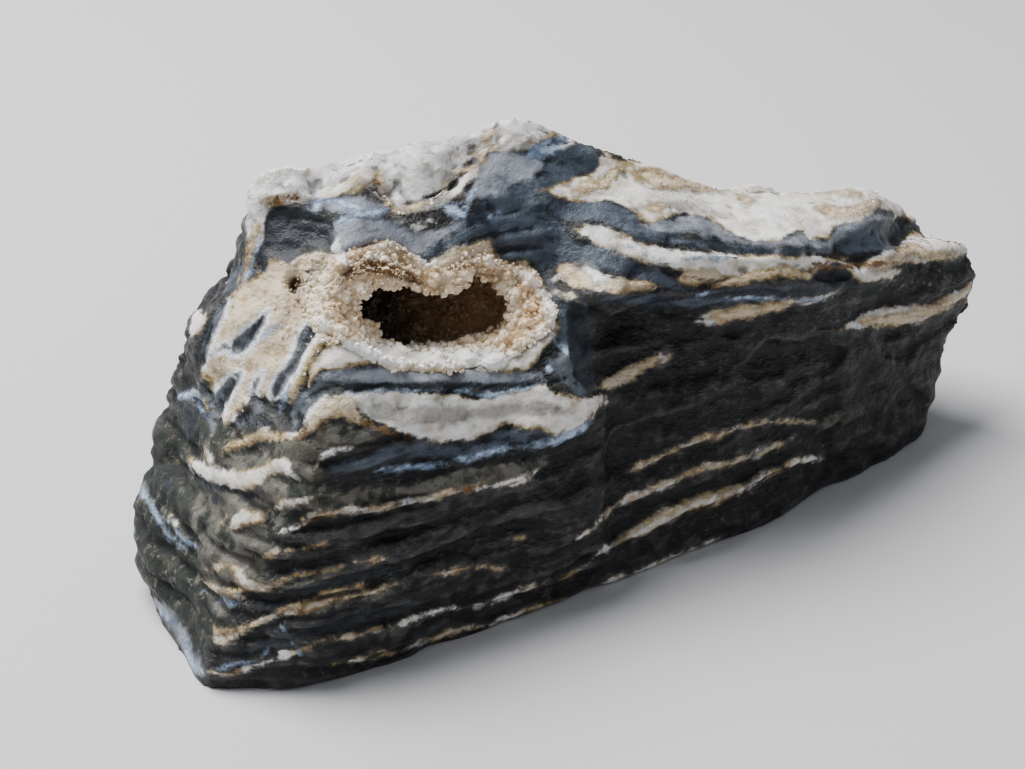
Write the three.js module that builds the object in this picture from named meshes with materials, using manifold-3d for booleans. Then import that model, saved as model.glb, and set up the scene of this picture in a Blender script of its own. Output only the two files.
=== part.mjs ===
// A banded agate geode: one broken block of chalcedony with a crystal pocket in its upper front slope.
// Millimetres, +Z up, +X along the block. The origin is the centre of the box that bounds the stone,
// at the height of the flat spot that it rests on.

import * as THREE from 'three';
import { ImprovedNoise } from 'three/addons/math/ImprovedNoise.js';
import { mergeVertices } from 'three/addons/utils/BufferGeometryUtils.js';
import Module from 'manifold-3d';

const wasm = await Module();
wasm.setup();

// The block. Its feature lines run from the left end to the right end, each point as [along, inward, up].
// A vertical break lies between the fifth and the sixth point: the left part of the block stands proud.
const FOOT_EDGE = 0.4;
const FOOT_LINE = [
  [0, 0, FOOT_EDGE], [9.5, -5.5, FOOT_EDGE], [21, -6.5, FOOT_EDGE], [33, -7, FOOT_EDGE], [49, -7, FOOT_EDGE],
  [52.5, -7, FOOT_EDGE], [65, -6, FOOT_EDGE], [77.5, -5.5, FOOT_EDGE], [95.5, -2.5, FOOT_EDGE], [112, 1, FOOT_EDGE],
];
const LOW_WALL_LINE = [
  [2, 1, 6], [9.5, -6, 9], [20.5, -7, 8.5], [32.5, -7.5, 8.5], [49.5, -8, 7],
  [52, -7, 7], [65, -6, 8.5], [77, -5, 9], [95.5, -2, 8.5], [115.5, 2.5, 5],
];
const HIGH_WALL_LINE = [
  [6, 3, 16.5], [12, -4.5, 21], [21.5, -6, 20], [33.5, -6.5, 19], [51, -7, 15.5],
  [54, -4.5, 13.5], [65.5, -5, 17.5], [77.5, -4, 17], [95.5, -1, 15.5], [119, 4.5, 10],
];
const SHOULDER_LINE = [
  [9.5, 5, 23.5], [14, -2.5, 27], [22.5, -4.5, 26.5], [34.5, -5, 23.5], [51, -5.5, 25.5],
  [55, -2, 23.5], [67.5, -1.5, 25], [78.5, -2, 23.5], [96, 0, 20], [121, 4.5, 14],
];
const RECESS_LINE = [
  [13, 7, 28], [17.5, 1, 33], [26.5, -0.5, 33.5], [37, -1, 31], [50, -1, 31.5],
  [57, 2, 31], [68.5, 0, 30], [79, -1, 28.5], [95.5, 0, 24], [124, 5, 18],
];
const LIP_LINE = [
  [15.5, 9, 32], [20, 3, 36.5], [28, 2, 35.5], [38.5, 1.5, 32.5], [50, 3, 35.5],
  [53.5, -1.5, 37], [66, -3, 34.5], [76, -4, 34], [93.5, -2, 30], [125.5, 6, 21.5],
];
const SLOPE_LINE = [
  [20, 13, 39.5], [25.5, 10, 43], [31.5, 8, 42.5], [42.5, 8, 41], [52, 7, 38],
  [56, 2, 39.5], [67, -1.5, 39], [78, -1.5, 37.5], [95.5, 1, 33.5], [126, 9, 25],
];
const SHELF_LINE = [
  [24.5, 18, 44.5], [28.5, 14, 46.5], [36, 13, 45], [45, 12, 46], [56, 11, 45.5],
  [61.5, 8, 44], [71, 4, 40.5], [81, 2, 37.5], [98, 4, 35], [123.5, 14, 24.5],
];
const RIDGE_LINE = [
  [23, 26, 50.5], [28.5, 24, 51.3], [38.5, 22, 52.3], [53, 20, 53.8], [63, 17, 50.6],
  [69, 16, 46.5], [81, 15, 41.5], [92.5, 14, 38.5], [108, 13, 35.5], [121, 16, 28],
];
const BACK_SHOULDER_LINE = [
  [22.5, 30, 44.5], [30, 33, 44], [40, 33, 45], [53, 31, 45.5], [63, 29, 42],
  [71, 28, 39], [82, 26, 34.5], [94, 25, 32], [108, 24, 28.5], [119, 24, 22],
];
const BACK_HIGH_LINE = [
  [14.5, 31.5, 31], [26, 39, 31], [38, 41, 32], [52, 40, 31], [62, 39, 30],
  [71, 37, 28], [82, 34, 26], [94, 32, 23.5], [107, 29, 20], [117.5, 27, 16],
];
const BACK_LOW_LINE = [
  [5, 31.5, 13.5], [20, 40, 13], [34, 43, 14], [50, 43, 12.5], [61, 40, 13],
  [71, 38.5, 12], [82, 36, 11.5], [94, 33, 10.5], [106, 29.5, 9], [115.5, 25, 7.5],
];
const BACK_FOOT_LINE = [
  [2.5, 23, FOOT_EDGE], [16, 36, FOOT_EDGE], [32, 39.5, FOOT_EDGE], [49, 39, FOOT_EDGE], [60, 38, FOOT_EDGE],
  [70, 35.5, FOOT_EDGE], [81, 33, FOOT_EDGE], [92, 30, FOOT_EDGE], [103, 26, FOOT_EDGE], [111, 19, FOOT_EDGE],
];

// The underside is a little below the resting plane, which cuts it flat.
const SOLE_DEPTH = -0.9;
const SOLE_INSET = 0.12;
const GROUND_SPAN = 400;
const GROUND_DEPTH = 20;

// Facets between neighbouring points of a line, and between neighbouring corners around the block, which
// start at the front of the underside and go up the front, over the ridge and down the back.
const FACETS_ALONG = [4, 4, 5, 6, 2, 5, 5, 6, 6];
const FACETS_AROUND = [1, 4, 7, 4, 3, 3, 4, 3, 5, 3, 3, 4, 3, 1, 4];
const cornerPlace = (corner) => FACETS_AROUND.slice(0, corner).reduce((sum, facets) => sum + facets, 0);
const RIDGE_PLACE = cornerPlace(9);
const BACK_SOLE_PLACE = cornerPlace(14);

// The two broken ends: rings of facets that close in on an upright seam in a slightly bulging face.
const END_STEPS = [0.25, 0.55, 0.85];
const SEAM_DROP = 0.1;
const LEFT_BULGE = new THREE.Vector3(-1.8, 0, 0.8);
const RIGHT_BULGE = new THREE.Vector3(1.6, 0, 0.4);

// Relief of the weathered surface: broad lumps, small lumps, and ledges where the bands break unevenly.
// The ledges lie level at the foot, fall with the top of the block to the right, and turn down beside
// the left face above a certain height, where they stand as steep ribs.
const LUMP_SIZE = 11;
const LUMP_HEIGHT = 0.9;
const SMALL_LUMP_SIZE = 4.5;
const SMALL_LUMP_HEIGHT = 0.55;
const LEDGE_PITCH = 5;
const LEDGE_HEIGHT = 1.1;
const LEDGE_WAVE = 2.4;
const LEVEL_TOP = 52;
const TOP_FALL_START = 55;
const TOP_FALL = 0.34;
const RIB_START = 27;
const SMALL_LUMP_SEED = 7;
const LEDGE_SEED = 3;
const LEFT_FACE = new THREE.Plane().setFromCoplanarPoints(
  new THREE.Vector3(...FOOT_LINE[0]),
  new THREE.Vector3(...RIDGE_LINE[0]),
  new THREE.Vector3(...BACK_FOOT_LINE[0]),
);

// The crystal pocket: where its mouth is centred, the directions along the mouth and into the stone,
// and its half sizes along the mouth, into the stone and across the mouth.
const MOUTH_CENTRE = new THREE.Vector3(34.5, 5.8, 38);
const MOUTH_ALONG = new THREE.Vector3(0.974, -0.148, -0.169);
const POCKET_INWARD = new THREE.Vector3(0.2, 0.97, -0.14);
const POCKET = { place: [0, 0, 0], radii: [15.4, 13.5, 6.8] };
const CRUST_GAP = 0.3;

// The open space in the crust: a shallow dish behind the mouth, the dark throat, the chamber behind it and
// a small pit beside it. Each has its place along the mouth, into the stone and across the mouth, and its
// half sizes.
const DISH = { place: [-0.5, -3.6, 0.2], radii: [13.4, 4.6, 4.9] };
const THROAT = { place: [2, 0.5, -0.1], radii: [9.2, 7.5, 4] };
const CHAMBER = { place: [1.5, 5.4, 0.2], radii: [10.2, 5.8, 4.7] };
const SIDE_PIT = { place: [-12, -0.4, 2], radii: [1.5, 1.8, 1.5] };

const POCKET_DETAIL = 4;
const VOID_DETAIL = 3;
const BLOB_ROUGHNESS = 0.1;
const BLOB_LUMPS = 3;

// Quartz points on the crust: six-sided, rooted in it, spread over the face behind the mouth and over the
// walls around the middle of the throat and of the chamber.
const CRYSTAL_SIDES = 6;
const CRYSTAL_RADIUS = 1.8;
const CRYSTAL_HEIGHT = 1.6;
const CRYSTAL_SINK = 1.1;
const CRYSTAL_HOLD = 0.3;
const CRYSTAL_SPREAD = 0.4;
const CRYSTAL_LEAN = 0.6;
const CRYSTAL_CHANGE = 1.3;
const FACE_CRYSTALS = 70;
const FACE_REACH = 0.94;
const WALL_CRYSTALS = 16;
const WALL_SIZE = 0.7;
const GOLDEN_ANGLE = Math.PI * (3 - Math.sqrt(5));

const noise = new ImprovedNoise();

/** Smooth noise from -1 to 1 at a point, with features of the given size. */
function noiseAt(point, size, shift = 0) {
  return noise.noise(point.x / size + shift, point.y / size + shift, point.z / size - shift);
}

/** Turns closed triangles into a solid. */
function solidOf(geometry) {
  const shell = geometry.clone();
  shell.deleteAttribute('normal');
  shell.deleteAttribute('uv');
  const merged = mergeVertices(shell, 1e-4);
  const mesh = new wasm.Mesh({
    numProp: 3,
    vertProperties: new Float32Array(merged.attributes.position.array),
    triVerts: new Uint32Array(merged.index.array),
  });
  return new wasm.Manifold(mesh);
}

/** Turns a solid back into triangles with flat shading. */
function geometryOf(solid) {
  const mesh = solid.getMesh();
  const indexed = new THREE.BufferGeometry();
  indexed.setAttribute('position', new THREE.BufferAttribute(new Float32Array(mesh.vertProperties), 3));
  indexed.setIndex(new THREE.BufferAttribute(new Uint32Array(mesh.triVerts), 1));
  const facets = indexed.toNonIndexed();
  facets.computeVertexNormals();
  return facets;
}

/** Samples a feature line, with the given number of facets between its points. */
function sampleLine(points) {
  const curve = new THREE.CatmullRomCurve3(points.map((point) => new THREE.Vector3(...point)), false, 'centripetal');
  const samples = [curve.getPoint(0)];
  FACETS_ALONG.forEach((facets, span) => {
    for (let step = 1; step <= facets; step += 1) {
      samples.push(curve.getPoint((span + step / facets) / FACETS_ALONG.length));
    }
  });
  return samples;
}

/** The point of the underside below a stretch from one foot edge to the other. */
function solePoint(from, to) {
  const point = from.clone().lerp(to, SOLE_INSET);
  point.z = SOLE_DEPTH;
  return point;
}

/** The rings of points around the block, from its left end to its right end. */
function blockRings() {
  const lines = [
    FOOT_LINE, LOW_WALL_LINE, HIGH_WALL_LINE, SHOULDER_LINE, RECESS_LINE, LIP_LINE, SLOPE_LINE, SHELF_LINE,
    RIDGE_LINE, BACK_SHOULDER_LINE, BACK_HIGH_LINE, BACK_LOW_LINE, BACK_FOOT_LINE,
  ].map(sampleLine);
  return lines[0].map((foot, station) => {
    const upper = lines.map((line) => line[station]);
    const backFoot = upper[upper.length - 1];
    const corners = [solePoint(foot, backFoot), ...upper, solePoint(backFoot, foot)];
    return corners.flatMap((corner, index) => {
      const next = corners[(index + 1) % corners.length];
      const facets = FACETS_AROUND[index];
      return Array.from({ length: facets }, (_, step) => corner.clone().lerp(next, step / facets));
    });
  });
}

/** Rings that draw one end of the block in towards an upright seam, from its rim inwards. */
function endRings(rim, bulge) {
  const foot = rim[0].clone().lerp(rim[BACK_SOLE_PLACE], 0.5);
  const top = rim[RIDGE_PLACE].clone().lerp(foot, SEAM_DROP);
  return END_STEPS.map((step) => {
    const swell = Math.sin(step * Math.PI / 2);
    return rim.map((point) => {
      const height = (point.z - foot.z) / (top.z - foot.z);
      const seam = foot.clone().lerp(top, THREE.MathUtils.clamp(height, 0, 1));
      return point.clone().lerp(seam, step).addScaledVector(bulge, swell);
    });
  });
}

/** Triangles that close the last ring of an end, zipped from the underside up to the ridge. */
function zipEnd(ring, points) {
  const size = points.length;
  const front = Array.from({ length: RIDGE_PLACE + 1 }, (_, index) => index);
  const back = [0, ...Array.from({ length: size - RIDGE_PLACE }, (_, index) => size - 1 - index)];
  const faces = [];
  let i = 0;
  let j = 0;
  while (i + 1 < front.length || j + 1 < back.length) {
    const frontNext = i + 1 < front.length ? points[front[i + 1]].z : Infinity;
    const backNext = j + 1 < back.length ? points[back[j + 1]].z : Infinity;
    if (frontNext <= backNext) {
      faces.push([back[j], front[i], front[i + 1]]);
      i += 1;
    } else {
      faces.push([front[i], back[j + 1], back[j]]);
      j += 1;
    }
  }
  return faces.filter((face) => new Set(face).size === 3).map((face) => face.map((index) => ring * size + index));
}

/** The closed shell of the block before its surface is roughened. */
function blockShell() {
  const body = blockRings();
  const left = endRings(body[0], LEFT_BULGE);
  const right = endRings(body[body.length - 1], RIGHT_BULGE);
  const rings = [...left.reverse(), ...body, ...right];
  const size = rings[0].length;
  const last = rings.length - 1;
  const faces = [];
  for (let ring = 0; ring < last; ring += 1) {
    for (let index = 0; index < size; index += 1) {
      const next = (index + 1) % size;
      const a = ring * size + index;
      const b = ring * size + next;
      const c = (ring + 1) * size + next;
      const d = (ring + 1) * size + index;
      faces.push(a, d, b, b, d, c);
    }
  }
  zipEnd(0, rings[0]).forEach(([a, b, c]) => faces.push(a, b, c));
  zipEnd(last, rings[last]).forEach(([a, b, c]) => faces.push(a, c, b));
  const shell = new THREE.BufferGeometry().setFromPoints(rings.flat());
  shell.setIndex(faces);
  shell.computeVertexNormals();
  return shell;
}

/** How far a point of the surface stands out: lumps, and ledges that follow the bands. */
function reliefAt(point, normal) {
  const broad = LUMP_HEIGHT * noiseAt(point, LUMP_SIZE);
  const small = SMALL_LUMP_HEIGHT * noiseAt(point, SMALL_LUMP_SIZE, SMALL_LUMP_SEED);
  const top = LEVEL_TOP - TOP_FALL * Math.max(point.x - TOP_FALL_START, 0);
  const level = point.z / top * LEVEL_TOP;
  const ribs = Math.min(Math.max(level - RIB_START, 0), -LEFT_FACE.distanceToPoint(point));
  const wave = LEDGE_WAVE * noiseAt(point, LUMP_SIZE * 2, LEDGE_SEED);
  const phase = (Math.min(level, RIB_START) + ribs + wave) / LEDGE_PITCH;
  const ledge = phase - Math.floor(phase) - 0.5;
  const steepness = 1 - Math.abs(normal.z);
  return broad + small + LEDGE_HEIGHT * ledge * steepness;
}

/** The whole block, rough and closed, cut flat where it rests. */
function blockSolid() {
  const shell = blockShell();
  const places = shell.attributes.position;
  const normals = shell.attributes.normal;
  const point = new THREE.Vector3();
  const normal = new THREE.Vector3();
  for (let index = 0; index < places.count; index += 1) {
    point.fromBufferAttribute(places, index);
    normal.fromBufferAttribute(normals, index);
    point.addScaledVector(normal, reliefAt(point, normal));
    places.setXYZ(index, point.x, point.y, point.z);
  }
  const below = new THREE.BoxGeometry(GROUND_SPAN, GROUND_SPAN, GROUND_DEPTH);
  below.translate(0, 0, -GROUND_DEPTH / 2);
  return solidOf(shell).subtract(solidOf(below));
}

/** The pocket's own directions: along the mouth, into the stone and across the mouth. */
function pocketBasis() {
  const inward = POCKET_INWARD.clone().normalize();
  const along = MOUTH_ALONG.clone().addScaledVector(inward, -MOUTH_ALONG.dot(inward)).normalize();
  const across = new THREE.Vector3().crossVectors(along, inward);
  return new THREE.Matrix4().makeBasis(along, inward, across).setPosition(MOUTH_CENTRE);
}

const POCKET_FRAME = pocketBasis();

/** A blob in the pocket's frame: its place, its half sizes and how much larger or smaller it is made. */
function blobFrame({ place, radii }, growth = 0) {
  const scale = new THREE.Matrix4().makeScale(...radii.map((radius) => radius + growth));
  const shift = new THREE.Matrix4().makeTranslation(...place);
  return POCKET_FRAME.clone().multiply(shift).multiply(scale);
}

/** A closed rough blob. */
function blobSolid(blob, detail, growth = 0) {
  const sphere = new THREE.IcosahedronGeometry(1, detail);
  const places = sphere.attributes.position;
  const point = new THREE.Vector3();
  for (let index = 0; index < places.count; index += 1) {
    point.fromBufferAttribute(places, index);
    point.multiplyScalar(1 + BLOB_ROUGHNESS * noiseAt(point, 1 / BLOB_LUMPS));
    places.setXYZ(index, point.x, point.y, point.z);
  }
  return solidOf(sphere.applyMatrix4(blobFrame(blob, growth)));
}

/** One six-sided quartz point that stands on a root in a direction. */
function crystal(root, direction, size, turn) {
  const length = CRYSTAL_HEIGHT * size + CRYSTAL_SINK;
  const upright = new THREE.Vector3(0, 1, 0);
  const point = new THREE.ConeGeometry(CRYSTAL_RADIUS * size, length, CRYSTAL_SIDES);
  point.translate(0, length / 2 - CRYSTAL_SINK, 0);
  point.rotateY(turn);
  point.applyQuaternion(new THREE.Quaternion().setFromUnitVectors(upright, direction));
  point.translate(root.x, root.y, root.z);
  return solidOf(point);
}

/** Rays into the mouth, spread over it like the seeds of a sunflower. */
function faceRays() {
  const frame = blobFrame(POCKET);
  const inward = new THREE.Vector3(0, 1, 0).transformDirection(POCKET_FRAME);
  return Array.from({ length: FACE_CRYSTALS }, (_, index) => {
    const reach = FACE_REACH * Math.sqrt((index + 0.5) / FACE_CRYSTALS);
    const turn = index * GOLDEN_ANGLE;
    const start = new THREE.Vector3(reach * Math.cos(turn), -1, reach * Math.sin(turn));
    return new THREE.Ray(start.applyMatrix4(frame), inward);
  });
}

/** Rays from the middle of a hollow to its walls, all around. */
function wallRays(hollow) {
  const middle = new THREE.Vector3(...hollow.place).applyMatrix4(POCKET_FRAME);
  return Array.from({ length: WALL_CRYSTALS }, (_, index) => {
    const polar = Math.acos(1 - 2 * (index + 0.5) / WALL_CRYSTALS);
    const direction = new THREE.Vector3().setFromSphericalCoords(1, polar, index * GOLDEN_ANGLE);
    return new THREE.Ray(middle, direction.applyMatrix4(blobFrame(hollow)).sub(middle).normalize());
  });
}

/** Quartz points where rays meet the crust, with a lean of their own, where it holds them well. */
function crystalsOn(crust, rays, scale) {
  const target = new THREE.Mesh(geometryOf(crust));
  const crystals = [];
  rays.forEach((ray, index) => {
    const [hit] = new THREE.Raycaster(ray.origin, ray.direction).intersectObject(target);
    if (hit) {
      const [leanX, leanY, leanZ, spread] = [1, 2, 3, 4].map((seed) => noiseAt(hit.point, CRYSTAL_CHANGE, seed));
      const lean = new THREE.Vector3(leanX, leanY, leanZ);
      const direction = hit.face.normal.clone().addScaledVector(lean, CRYSTAL_LEAN).normalize();
      const size = scale * (1 + CRYSTAL_SPREAD * spread);
      const point = crystal(hit.point, direction, size, index);
      if (point.intersect(crust).volume() > CRYSTAL_HOLD * point.volume()) {
        crystals.push(point);
      }
    }
  });
  return crystals;
}

/** The crust of crystals that lines the pocket, clear of the stone around it. */
function crustSolid(block) {
  const limits = blobSolid(POCKET, POCKET_DETAIL, -CRUST_GAP);
  const crust = [DISH, THROAT, CHAMBER, SIDE_PIT].reduce(
    (rest, hollow) => rest.subtract(blobSolid(hollow, VOID_DETAIL)),
    limits.intersect(block),
  );
  const points = [
    ...crystalsOn(crust, faceRays(), 1),
    ...crystalsOn(crust, [...wallRays(THROAT), ...wallRays(CHAMBER)], WALL_SIZE),
  ];
  return points.reduce((sum, point) => sum.add(point), crust).intersect(limits);
}

/** A named mesh of a solid, in its own material. */
function piece(name, solid, material) {
  const mesh = new THREE.Mesh(geometryOf(solid), material);
  mesh.name = name;
  return mesh;
}

const agate = new THREE.MeshStandardMaterial({ color: 0x3a3d42, roughness: 0.55, metalness: 0 });
const quartz = new THREE.MeshStandardMaterial({ color: 0xcdb79c, roughness: 0.35, metalness: 0 });

const block = blockSolid();

const geode = new THREE.Group();
geode.add(piece('rock', block.subtract(blobSolid(POCKET, POCKET_DETAIL)), agate));
geode.add(piece('crystal_crust', crustSolid(block), quartz));

const bounds = new THREE.Box3().setFromObject(geode);
const centre = bounds.getCenter(new THREE.Vector3());
geode.position.set(-centre.x, -centre.y, -bounds.min.z);

export default geode;
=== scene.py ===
"""A hand-sized banded agate geode with a crystal pocket, dressed for a still picture."""

import logging
import math
from dataclasses import dataclass, field
from enum import Enum
from typing import Callable, Iterable, Mapping, Optional, Sequence, Union

import bmesh
import bpy
import numpy as np
from mathutils import Matrix, Vector
from mathutils.bvhtree import BVHTree


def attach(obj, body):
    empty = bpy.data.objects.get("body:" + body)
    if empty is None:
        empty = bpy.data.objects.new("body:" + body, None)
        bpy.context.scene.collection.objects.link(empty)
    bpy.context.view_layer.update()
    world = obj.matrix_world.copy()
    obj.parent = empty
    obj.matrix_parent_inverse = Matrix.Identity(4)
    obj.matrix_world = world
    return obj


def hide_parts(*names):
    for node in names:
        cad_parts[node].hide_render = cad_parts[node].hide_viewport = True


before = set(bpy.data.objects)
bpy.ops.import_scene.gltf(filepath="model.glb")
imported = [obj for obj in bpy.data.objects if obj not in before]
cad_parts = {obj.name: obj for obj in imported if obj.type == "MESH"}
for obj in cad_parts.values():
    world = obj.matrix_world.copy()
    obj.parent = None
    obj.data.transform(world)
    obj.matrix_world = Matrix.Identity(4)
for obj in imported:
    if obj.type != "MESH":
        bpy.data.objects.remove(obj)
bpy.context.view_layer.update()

MILLIMETRE = 0.001
WELD_GAP = 1e-6
TINY = 1e-9
LOG = logging.getLogger("geode")

Pixels = Sequence[tuple[float, float]]
Widths = Sequence[tuple[float, float, float]]
Span = tuple[float, float]
Colour = tuple[float, float, float]
Socket = bpy.types.NodeSocket
Fed = Union[bpy.types.NodeSocket, float, Colour]
Key = Union[str, int]
Measure = Callable[[np.ndarray, np.ndarray], np.ndarray]

# Numbers that mix a cell's place and a layer's seed into one random value
AXIS_PRIMES = (73856093, 19349663, 83492791)
SEED_PRIME = 7919
MIXING_STEPS = ((13, 1274126177), (15, 668265263))
LAST_SHIFT = 11
LARGEST = 0x7FFFFFFF
OCTAVE_STEP = 31
BILLOW_MEAN = 0.45


class Tone(Enum):
    """The colours that the stone's bands come in, each painted as one vertex attribute."""

    NAVY = "navy"
    ASH = "ash"
    EARTH = "earth"
    SMOKE = "smoke"
    GRAINY = "grainy"
    CREAM = "cream"
    VEIL = "veil"
    TAN = "tan"
    ICE = "ice"
    SLATE = "slate"
    # dark marks; several of its runs are painted shadow in the recess and under ledges
    INK = "ink"
    RUST = "rust"


# Closed patches of one colour, each a named outline in the picture's pixels

PATCHES: Mapping[Tone, Mapping[str, Pixels]] = {
    Tone.NAVY: {
        "diagonal": (
            (598, 152), (580, 141), (562, 147), (547, 160), (535, 178), (508, 188), (482, 200),
            (468, 218), (455, 232), (428, 247), (400, 262), (408, 269), (432, 262), (458, 250),
            (482, 241), (498, 240), (500, 260), (528, 264), (543, 284), (550, 300), (556, 330),
            (564, 350), (570, 388), (584, 396), (586, 380), (582, 330), (588, 298), (572, 298),
            (552, 284), (556, 268), (572, 262), (600, 270), (560, 222), (548, 205), (600, 176),
        ),
    },
    Tone.ASH: {
        "foot_corner": (
            (150, 440), (185, 412), (215, 425), (300, 440), (320, 470), (325, 505), (300, 520),
            (290, 545), (268, 560), (258, 590), (245, 615), (205, 655), (190, 650), (160, 610),
            (140, 560), (130, 510), (135, 470),
        ),
    },
    Tone.EARTH: {
        "left_face": (
            (205, 440), (230, 452), (262, 446), (300, 440), (318, 452), (310, 478), (285, 492),
            (300, 508), (268, 520), (270, 548), (250, 560), (262, 575), (240, 600), (222, 618),
            (208, 604), (202, 572), (194, 545), (190, 514), (198, 494), (210, 488), (214, 470),
        ),
        "hump": ((312, 440), (328, 426), (352, 424), (375, 434), (398, 442), (360, 444), (322, 450)),
    },
    Tone.SMOKE: {
        "left_facet": (
            (334, 224), (350, 215), (372, 220), (395, 222), (430, 232), (455, 222), (464, 226),
            (430, 247), (400, 262), (392, 258), (350, 257), (340, 250),
        ),
        "top_facet": (
            (478, 166), (490, 153), (512, 151), (538, 158), (545, 165), (530, 178), (508, 188),
            (484, 198), (472, 190),
        ),
        "glaze": ((318, 202), (340, 196), (362, 197), (382, 203), (392, 211), (372, 219), (350, 215)),
    },
    Tone.GRAINY: {
        "crown": (
            (240, 205), (246, 184), (260, 166), (285, 155), (305, 156), (340, 148), (385, 132),
            (440, 122), (470, 112), (490, 106), (520, 106), (560, 118), (582, 134), (562, 147),
            (545, 148), (520, 150), (490, 151), (468, 160), (456, 171), (460, 182), (440, 195),
            (420, 200), (405, 211), (385, 199), (370, 190), (345, 190), (325, 196), (305, 201),
            (280, 205), (268, 211), (264, 240), (254, 247), (246, 232),
        ),
    },
    Tone.CREAM: {
        "shelf": (
            (600, 156), (620, 160), (660, 163), (690, 172), (720, 180), (750, 180), (800, 183),
            (830, 181), (870, 186), (902, 197), (916, 220), (900, 216), (881, 208), (868, 216),
            (850, 222), (836, 226), (828, 239), (810, 238), (800, 232), (789, 233), (781, 240),
            (745, 239), (728, 229), (715, 222), (700, 217), (685, 212), (668, 218), (650, 222),
            (638, 215), (625, 205), (610, 200), (580, 199), (555, 196), (542, 193), (552, 187),
            (575, 178), (595, 172),
        ),
        "below_pocket": (
            (356, 406), (366, 398), (400, 394), (440, 393), (465, 397), (480, 402), (510, 397),
            (540, 390), (553, 392), (566, 400), (585, 401), (602, 392), (603, 403), (592, 417),
            (580, 425), (562, 435), (545, 431), (530, 428), (505, 424), (490, 432), (465, 439),
            (438, 441), (412, 434), (392, 426), (372, 420),
        ),
    },
    Tone.VEIL: {},
    Tone.TAN: {
        "fingers": (
            (262, 264), (275, 258), (290, 262), (303, 255), (318, 252), (332, 262), (345, 272),
            (332, 300), (322, 345), (304, 380), (290, 400), (275, 400), (250, 395), (240, 410),
            (225, 425), (216, 402), (212, 386), (204, 370), (210, 345), (216, 325), (226, 304),
            (240, 286), (254, 280),
        ),
        "druse": (
            (288, 300), (292, 268), (325, 252), (350, 262), (390, 262), (420, 272), (440, 258),
            (470, 245), (488, 243), (503, 262), (530, 264), (545, 285), (552, 310), (550, 332),
            (530, 342), (520, 356), (470, 352), (420, 346), (380, 346), (340, 345), (315, 345),
            (295, 325),
        ),
        "ochre_head": (
            (312, 402), (330, 395), (352, 398), (360, 412), (372, 424), (352, 422), (330, 418),
            (318, 428), (308, 434), (306, 418),
        ),
    },
    Tone.ICE: {},
    Tone.SLATE: {},
    Tone.INK: {
        "arch": (
            (786, 290), (808, 281), (824, 266), (838, 262), (850, 270), (852, 286), (830, 294),
            (800, 298),
        ),
        "left_window": (
            (268, 214), (300, 208), (318, 214), (334, 222), (334, 240), (328, 250), (306, 246),
            (290, 262), (272, 256), (262, 276), (256, 262), (264, 238),
        ),
    },
    Tone.RUST: {},
}

# Bands and lines, each a named run of pixels with the half of its width there

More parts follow.
